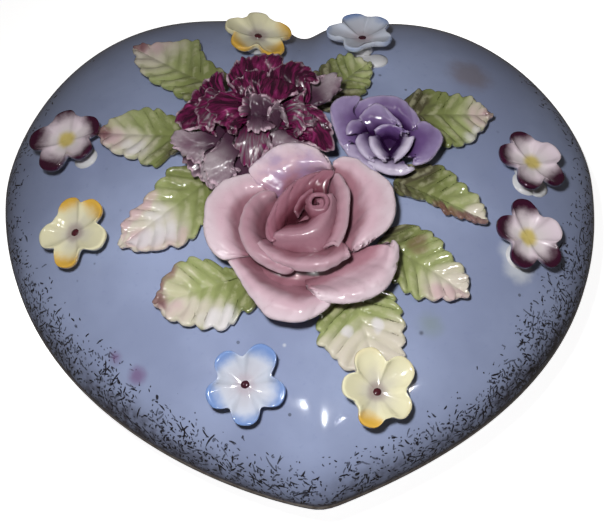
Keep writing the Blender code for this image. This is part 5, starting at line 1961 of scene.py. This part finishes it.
LEAVES = (
    LeafPiece("leaf_back_left", Spot(137.9, 0.705), 143.0, 21.0, 1.4, 0.9,
              left=((0.28, 6.2), (0.39, 5.5), (0.66, 5.5), (0.88, 3.8)),
              right=((0.43, 6.0), (0.61, 8.7), (0.78, 6.0), (0.89, 3.7)),
              reach=1.11, dabs=(
                  Dab(Tint.CREAM, 1.05, 0.0, 0.34, 1.6, 0.75),
                  Dab(Tint.MAROON, 1.06, -0.9, 0.10, 0.8, 0.8),
                  Dab(Tint.PINK, 1.0, -0.7, 0.2, 0.7, 0.6),
              )),
    LeafPiece("leaf_left", Spot(168.4, 0.646), 171.0, 20.5, 1.2, 0.8,
              left=((0.29, 5.8), (0.36, 7.3), (0.57, 6.1), (0.72, 5.3), (0.97, 1.7)),
              right=((0.31, 4.5), (0.5, 6.4), (0.71, 5.7), (0.88, 3.2)),
              reach=1.03, ripe=-0.05, dabs=(
                  Dab(Tint.CREAM, 0.9, 0.55, 0.42, 0.8),
                  Dab(Tint.PINK, 0.98, 0.4, 0.22, 0.8, 0.7),
                  Dab(Tint.MAROON, 1.03, -0.1, 0.13, 1.3),
                  Dab(Tint.WHITE, 0.62, 0.6, 0.12, 0.3, 0.6),
              )),
    LeafPiece("leaf_mid_left", Spot(207.5, 0.644), 217.0, 23.0, 1.2, 0.9,
              left=((0.44, 7.7), (0.61, 8.2), (0.75, 6.3), (0.87, 4.7)),
              right=((0.12, 4.2), (0.28, 6.9), (0.38, 6.5), (0.5, 5.8), (0.66, 4.9), (0.82, 4.2)),
              reach=1.03, ripe=0.08, dabs=(
                  Dab(Tint.CREAM, 0.95, 0.2, 0.42, 1.5),
                  Dab(Tint.PINK, 0.75, -0.85, 0.22, 0.3, 0.7),
                  Dab(Tint.PINK, 0.95, 0.3, 0.16, 0.6, 0.8),
                  Dab(Tint.PINK, 0.72, 0.85, 0.2, 0.3, 0.6),
                  Dab(Tint.WHITE, 0.78, 0.5, 0.2, 0.4, 0.8),
                  Dab(Tint.WHITE, 0.66, -0.1, 0.1, 0.4, 0.6),
              )),
    LeafPiece("leaf_front_left", Spot(228.1, 0.685), 194.0, 20.5, 1.4, 0.9,
              left=((0.22, 7.2), (0.3, 7.2), (0.42, 8.8), (0.58, 7.9), (0.82, 5.2), (0.94, 3.3)),
              right=((0.33, 2.6), (0.51, 6.1), (0.65, 6.7), (0.76, 5.9), (0.86, 4.3)),
              reach=1.04, dabs=(
                  Dab(Tint.CREAM, 0.85, 0.7, 0.4, 0.5),
                  Dab(Tint.PINK, 0.95, 0.6, 0.2, 0.5, 0.5),
                  Dab(Tint.MAROON, 1.04, -0.3, 0.12, 1.3),
                  Dab(Tint.MAROON, 0.85, -1.0, 0.16, 0.25, 0.8),
                  Dab(Tint.WHITE, 0.5, 0.85, 0.16, 0.3, 0.9),
              )),
    LeafPiece("leaf_front", Spot(286.0, 0.740), 287.0, 18.5, 0.2, 0.9,
              left=((0.41, 7.8), (0.58, 7.8), (0.73, 7.0), (0.83, 6.3), (0.96, 5.2)),
              right=((0.47, 8.6), (0.64, 8.9), (0.69, 7.9), (0.82, 6.9), (0.94, 4.6)),
              reach=1.07, ripe=0.10, dabs=(
                  Dab(Tint.CREAM, 1.0, 0.0, 0.4, 1.8),
                  # Painted highlights: these two small white dabs stand in for glints on the leaf.
                  Dab(Tint.WHITE, 0.62, 0.35, 0.07, 0.14, 0.9),
                  Dab(Tint.WHITE, 0.60, -0.35, 0.06, 0.12, 0.9),
              )),
    LeafPiece("leaf_front_right", Spot(315.4, 0.706), 328.0, 18.5, 1.2, 0.9,
              left=((0.1, 5.0), (0.28, 6.6), (0.46, 6.5), (0.64, 4.7), (0.75, 4.2), (0.88, 3.3)),
              right=((0.41, 6.7), (0.57, 6.7), (0.72, 5.0), (0.8, 3.9), (0.9, 2.6)),
              reach=1.03, ripe=0.05, dabs=(
                  Dab(Tint.CREAM, 1.0, -0.2, 0.35, 1.4),
                  Dab(Tint.PINK, 0.9, -0.7, 0.25, 0.5, 0.6),
                  Dab(Tint.MAROON, 0.36, 0.45, 0.10, 0.3, 0.5),
              )),
    LeafPiece("leaf_right_narrow", Spot(336.8, 0.626), 335.0, 18.5, 1.4, 0.8,
              left=((0.39, 7.1), (0.64, 4.9), (0.87, 3.1)),
              right=((0.1, 2.3), (0.26, 2.2), (0.45, 2.0), (0.59, 2.5), (0.83, 1.8)),
              reach=1.03, ripe=-0.10, dabs=(
                  Dab(Tint.CREAM, 1.02, -0.2, 0.24, 1.0),
                  Dab(Tint.MAROON, 0.58, -0.95, 0.14, 0.5, 0.9),
                  Dab(Tint.MAROON, 0.92, -0.85, 0.26, 0.5, 0.9),
                  Dab(Tint.WHITE, 0.90, -0.1, 0.20, 0.16, 0.5),
              )),
    LeafPiece("leaf_right", Spot(14.1, 0.638), 4.0, 18.0, 1.2, 0.9,
              left=((0.11, 4.2), (0.25, 6.4), (0.4, 6.1), (0.59, 4.8), (0.78, 4.1)),
              right=((0.55, 8.1), (0.73, 6.6), (0.85, 3.9)),
              reach=1.03, ripe=-0.12, dabs=(
                  Dab(Tint.CREAM, 1.0, 0.0, 0.25, 1.6, 0.8),
                  Dab(Tint.PINK, 0.95, -0.2, 0.2, 1.0, 0.6),
                  Dab(Tint.MAROON, 1.05, 0.2, 0.10, 1.4, 0.8),
                  Dab(Tint.WHITE, 0.74, -0.95, 0.12, 0.25, 0.6),
              )),
    LeafPiece("leaf_back_right", Spot(55.7, 0.473), 42.0, 15.0, 1.0, 0.7,
              left=((0.4, 5.9), (0.74, 5.5), (0.92, 4.2)),
              right=((0.4, 6.2), (0.6, 5.3), (0.82, 3.3)),
              reach=1.04, ripe=-0.35, dabs=(
                  Dab(Tint.CREAM, 1.02, 0.6, 0.12, 0.5, 0.4),
              )),
)

LITTLE_FLOWERS = (
    LittleFlower(
        "yellow_flower_back", "yellow_glaze", Spot(105.2, 0.609), (0.18, -0.11), 2.1,
        petal_ring((12, 6.8, 0.9), (90, 6.1, 0.1), (167, 7.0, 0.2), (225, 7.2, 0.8), (297, 7.5, 0.9)),
        slip=((0.6, -4.0, 2.4),)),
    LittleFlower(
        "blue_flower_back", "blue_glaze", Spot(63.6, 0.607), (0.0, -0.02), 2.1,
        petal_ring((48, 7.0, 0.8), (105, 7.5, 0.9), (171, 7.3, 0.6), (244, 6.2, 0.8), (331, 6.2, 0.8)),
        slip=((0.2, -3.4, 3.0), (2.6, -3.0, 2.4))),
    LittleFlower(
        "burgundy_flower_left", "burgundy_glaze", Spot(170.9, 0.744), (0.10, 0.0), 2.1,
        petal_ring((15, 7.3, 0.9), (93, 6.5, 0.9), (173, 7.6, 0.9), (244, 8.0, 0.8), (313, 7.3, 0.7)),
        slip=((2.6, -2.8, 2.4),), eye_radius=0.0),
    LittleFlower(
        "yellow_flower_left", "yellow_glaze", Spot(197.6, 0.751), (0.01, 0.0), 1.9,
        petal_ring((38, 7.3, 0.9), (94, 6.9, 0.9), (182, 7.1, 0.1), (253, 7.5, 0.8), (331, 7.5, 0.15))),
    LittleFlower(
        "blue_flower_front", "blue_glaze", Spot(256.6, 0.770), (0.16, -0.06), 1.9,
        petal_ring((56, 8.1, 0.9), (128, 7.1, 1.0), (200, 7.4, 1.0), (269, 7.4, 0.9), (341, 7.5, 1.0))),
    LittleFlower(
        "yellow_flower_front", "yellow_glaze", Spot(284.0, 0.798), (0.11, 0.09), 2.6,
        petal_ring((47, 8.2, 0.2), (113, 8.2, 0.2), (176, 7.1, 0.0), (254, 6.9, 1.0), (331, 6.9, 0.3))),
    LittleFlower(
        "burgundy_flower_right", "burgundy_glaze", Spot(358.4, 0.735), (-0.04, 0.12), 2.1,
        petal_ring((31, 6.7, 0.1), (115, 7.0, 0.9), (179, 7.4, 0.8), (251, 7.4, 0.7), (320, 7.1, 1.0)),
        slip=((0.4, -2.4, 3.0), (2.8, -3.0, 2.2)), eye_radius=0.0),
    LittleFlower(
        "burgundy_flower_front_right", "burgundy_glaze", Spot(337.6, 0.760), (0.04, 0.06), 2.1,
        petal_ring((23, 7.4, 0.05), (103, 7.6, 0.9), (174, 7.3, 0.9), (247, 7.4, 0.9), (320, 7.6, 0.9)),
        slip=((0.2, -2.4, 3.0),), eye_radius=0.0),
)

# How crowded the sponged marks are round the rim. The same values set the haze, which is partly painted shade
# toward the rim.
SPONGING = tuple(SpongeSpot(*spot) for spot in (
    (0.0, 0.08, 6.0), (0.14, 0.2, 8.0), (0.20, 0.55, 10.0), (0.26, 0.8, 9.5), (0.31, 1.0, 10.5),
    (0.36, 1.25, 12.5), (0.40, 1.25, 11.5), (0.43, 1.1, 10.0), (0.46, 0.85, 9.5), (0.49, 0.7, 10.5),
    (0.52, 0.85, 9.5), (0.56, 1.0, 9.0), (0.60, 1.25, 10.0), (0.65, 1.9, 13.0), (0.70, 1.3, 12.5),
    (0.74, 0.75, 10.5), (0.78, 0.5, 9.0), (0.82, 0.45, 11.0), (0.88, 0.22, 8.0), (1.0, 0.08, 6.0),
))


class Shows(Enum):
    """What a lamp is seen by: the glazes' own colour or their gloss."""

    COLOUR = (True, False)
    GLOSS = (False, True)


@dataclass(frozen=True)
class Lamp:
    """One soft studio lamp: what it aims at, the way to it, its distance, radius and power.

    Lengths are in millimetres and the cone in degrees. Tall is how many times taller than wide it is.
    """

    name: str
    aim: Point
    way: Point
    distance: float
    radius: float
    power: float
    shows: Shows
    cone: float = 180.0
    tall: float = 1.0

    def hang(self) -> None:
        """Hang the lamp: a soft spot where it has a cone, and otherwise a round panel."""
        data = bpy.data.lights.new(self.name, "SPOT" if self.cone < 180.0 else "AREA")
        data.energy = self.power
        if self.cone < 180.0:
            data.spot_size = math.radians(self.cone)
            data.spot_blend = 1.0
            data.shadow_soft_size = self.radius * MM
        else:
            data.shape = "ELLIPSE"
            data.size = 2 * self.radius * MM
            data.size_y = 2 * self.radius * self.tall * MM
        thing = bpy.data.objects.new(self.name, data)
        way = Vector(self.way).normalized()
        thing.location = (Vector(self.aim) + way * self.distance) * MM
        thing.rotation_euler = way.to_track_quat("Z", "Y").to_euler()
        thing.scale.x = 1 / self.tall if self.cone < 180.0 else 1.0
        thing.visible_diffuse, thing.visible_glossy = self.shows.value
        bpy.context.scene.collection.objects.link(thing)


@dataclass
class Studio:
    """Plain pale floor, soft light and the camera."""

    target: Point = (0.88, -6.29, 26.52)
    eye: Point = (-3.28, -169.56, 308.82)
    roll: float = -0.36
    lens: float = 97.27
    room: float = 0.076
    air: tuple[float, float, float, float] = (1.0, 0.91, 0.84, 1.0)
    glow: float = 0.93
    lamps: tuple[Lamp, ...] = ()

    def camera(self) -> None:
        """Put the camera where the reference view was taken from."""
        data = bpy.data.cameras.new("reference_camera")
        data.sensor_width = 36.0
        data.lens = self.lens
        data.clip_start = 0.01
        thing = bpy.data.objects.new("reference_camera", data)
        eye, target = Vector(self.eye) * MM, Vector(self.target) * MM
        turn = (eye - target).to_track_quat("Z", "Y").to_matrix().to_4x4()
        thing.matrix_world = Matrix.Translation(eye) @ turn @ Matrix.Rotation(math.radians(self.roll), 4, "Z")
        bpy.context.scene.collection.objects.link(thing)
        bpy.context.scene.camera = thing

    def light(self) -> None:
        """Hang the lamps and set the room's own dim light."""
        for lamp in self.lamps:
            lamp.hang()
        world = bpy.data.worlds.new("room")
        world.use_nodes = True
        inputs = world.node_tree.nodes["Background"].inputs
        inputs["Color"].default_value = self.air
        inputs["Strength"].default_value = self.room
        bpy.context.scene.world = world
        bpy.context.scene.view_settings.view_transform = "Standard"

    def floor(self) -> None:
        """Lay the pale, softly lit floor that the box stands on."""
        palette = Palette("pale_floor")
        colour = palette.mix(palette.between(palette.noise(3.0), 0.3, 0.7), (250, 250, 250), (255, 255, 255))
        palette.feed(palette.shader.inputs["Emission Color"], colour)
        palette.shader.inputs["Emission Strength"].default_value = self.glow
        material = palette.finish(colour, 0.9)
        clay = Clay()
        half, edge = 3.0, 0.02
        corners = np.array([(x, y, z) for z in (0.0, -edge) for x, y in
                            ((-half, -half), (half, -half), (half, half), (-half, half))])
        sides = [[i, (i + 1) % 4, (i + 1) % 4 + 4, i + 4] for i in range(4)]
        clay.add(corners, [[0, 1, 2, 3], [7, 6, 5, 4], *sides])
        floor = clay.fire("pale_floor", material)
        floor.visible_diffuse = False
        floor.visible_glossy = False


LAMPS = (
    Lamp("key_lamp", (-1.0, -27.0, 30.0), (-0.108, -0.310, 0.945), 300.0, 13.0, 4.05, Shows.COLOUR,
         cone=44.0, tall=1.25),
    *[Lamp(name + "_lamp", aim, way, 600.0, radius, power, Shows.GLOSS, tall=tall)
      for name, aim, way, radius, power, tall in (
          ("glint", (2.9, -43.6, 34.3), (0.209, -0.443, 0.872), 6.5, 1.2, 1.8),
          ("left_glint", (-0.4, -41.0, 35.4), (-0.175, -0.360, 0.916), 3.0, 0.16, 1.3),
          ("thin_glint", (6.0, -43.5, 33.8), (0.378, -0.447, 0.811), 1.1, 0.02, 2.0),
          ("far_glint", (19.0, -37.8, 33.7), (0.525, -0.388, 0.758), 1.6, 0.035, 1.0),
          ("petal", (0.0, -6.0, 40.0), (-0.361, -0.289, 0.887), 5.5, 0.32, 1.0),
      )],
)

LID_MARKS = (
    ((112, 84, 124), (-31.6, -32.3, 31.9), 1.9, 1.5, 0.75),
    ((112, 84, 124), (-35.7, -28.3, 31.9), 1.3, 1.5, 0.65),
    ((122, 112, 116), (35.3, 31.0, 36.8), 4.6, 3.0, 0.65),
    ((124, 138, 134), (23.2, -26.2, 37.1), 2.4, 2.4, 0.55),
    ((70, 72, 84), (21.5, -27.8, 37.0), 0.45, 0.5, 0.8),
    # Painted highlight: this small white dot on the lid just below the rose stands in for a glint.
    ((196, 200, 208), (-3.9, -30.4, 38.8), 0.35, 0.4, 0.8),
    ((204, 208, 212), (41.2, -13.2, 35.2), 3.2, 2.2, 0.75),
    ((188, 194, 204), (39.4, -10.4, 36.2), 2.2, 1.8, 0.7),
)


class TrinketBox:
    """The whole box: it builds each piece in turn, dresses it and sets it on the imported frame."""

    def __init__(self) -> None:
        """Mix the glazes and set out the lid's form."""
        self.lid = LidPiece(sponging=SPONGING)
        self.form = LidForm(HeartPlan(), self.lid.seat * MM)
        self.glazes = {
            "box_glaze": DishGlaze().make(),
            "lid_glaze": SpongedGlaze(marks=LID_MARKS).make(),
            "rose_glaze": RoseGlaze().make(),
            "carnation_glaze": CarnationGlaze().make(),
            "violet_glaze": VioletGlaze().make(),
            "leaf_glaze": LeafGlaze().make(),
            "yellow_glaze": FlowerGlaze("yellow_flower_glaze", (200, 195, 178), (222, 217, 182),
                                        (212, 168, 70), (70, 26, 34), (160, 148, 142),
                                        start=1.0, full=1.45).make(),
            "blue_glaze": FlowerGlaze("blue_flower_glaze", (184, 184, 194), (192, 198, 212),
                                      (112, 140, 192), (60, 22, 36), (176, 168, 178),
                                      start=1.18, full=1.58).make(),
            "burgundy_glaze": FlowerGlaze("burgundy_flower_glaze", (222, 214, 214), (228, 212, 222),
                                          (56, 8, 38), (204, 176, 84), (206, 186, 104),
                                          start=0.98, full=1.44).make(),
        }

    def seat(self, piece: bpy.types.Object, node: str, slot: str) -> None:
        """Let a piece stand for its CAD node.

        Args:
            piece: The dressed piece.
            node: The node that it replaces.
            slot: The name of the finish that it wears; not used.
        """
        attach(piece, BODY)
        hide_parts(node)
        log.info("%s stands for %s, %d faces", piece.name, node, len(piece.data.polygons))

    def build(self) -> None:
        """Build every piece."""
        glazes = self.glazes
        self.seat(DishPiece().build(self.form, self.lid, glazes["box_glaze"]), "box_base", "box_glaze")
        self.seat(self.lid.build(self.form, glazes["lid_glaze"]), "lid", "lid_glaze")
        for blossom in (ROSE, CARNATION, VIOLET_ROSE):
            self.seat(blossom.build(self.form, glazes[blossom.slot]), blossom.node, blossom.slot)
        for leaf in LEAVES:
            self.seat(leaf.build(self.form, glazes["leaf_glaze"]), leaf.node, "leaf_glaze")
        for flower in LITTLE_FLOWERS:
            self.seat(flower.build(self.form, glazes[flower.slot]), flower.node, flower.slot)


def main() -> None:
    """Load the frame, build the box on it, and set the studio up."""
    logging.basicConfig(level=logging.INFO, format="%(name)s: %(message)s")
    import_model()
    studio = Studio(lamps=LAMPS)
    studio.floor()
    studio.camera()
    studio.light()
    TrinketBox().build()


if __name__ == "__main__":
    main()
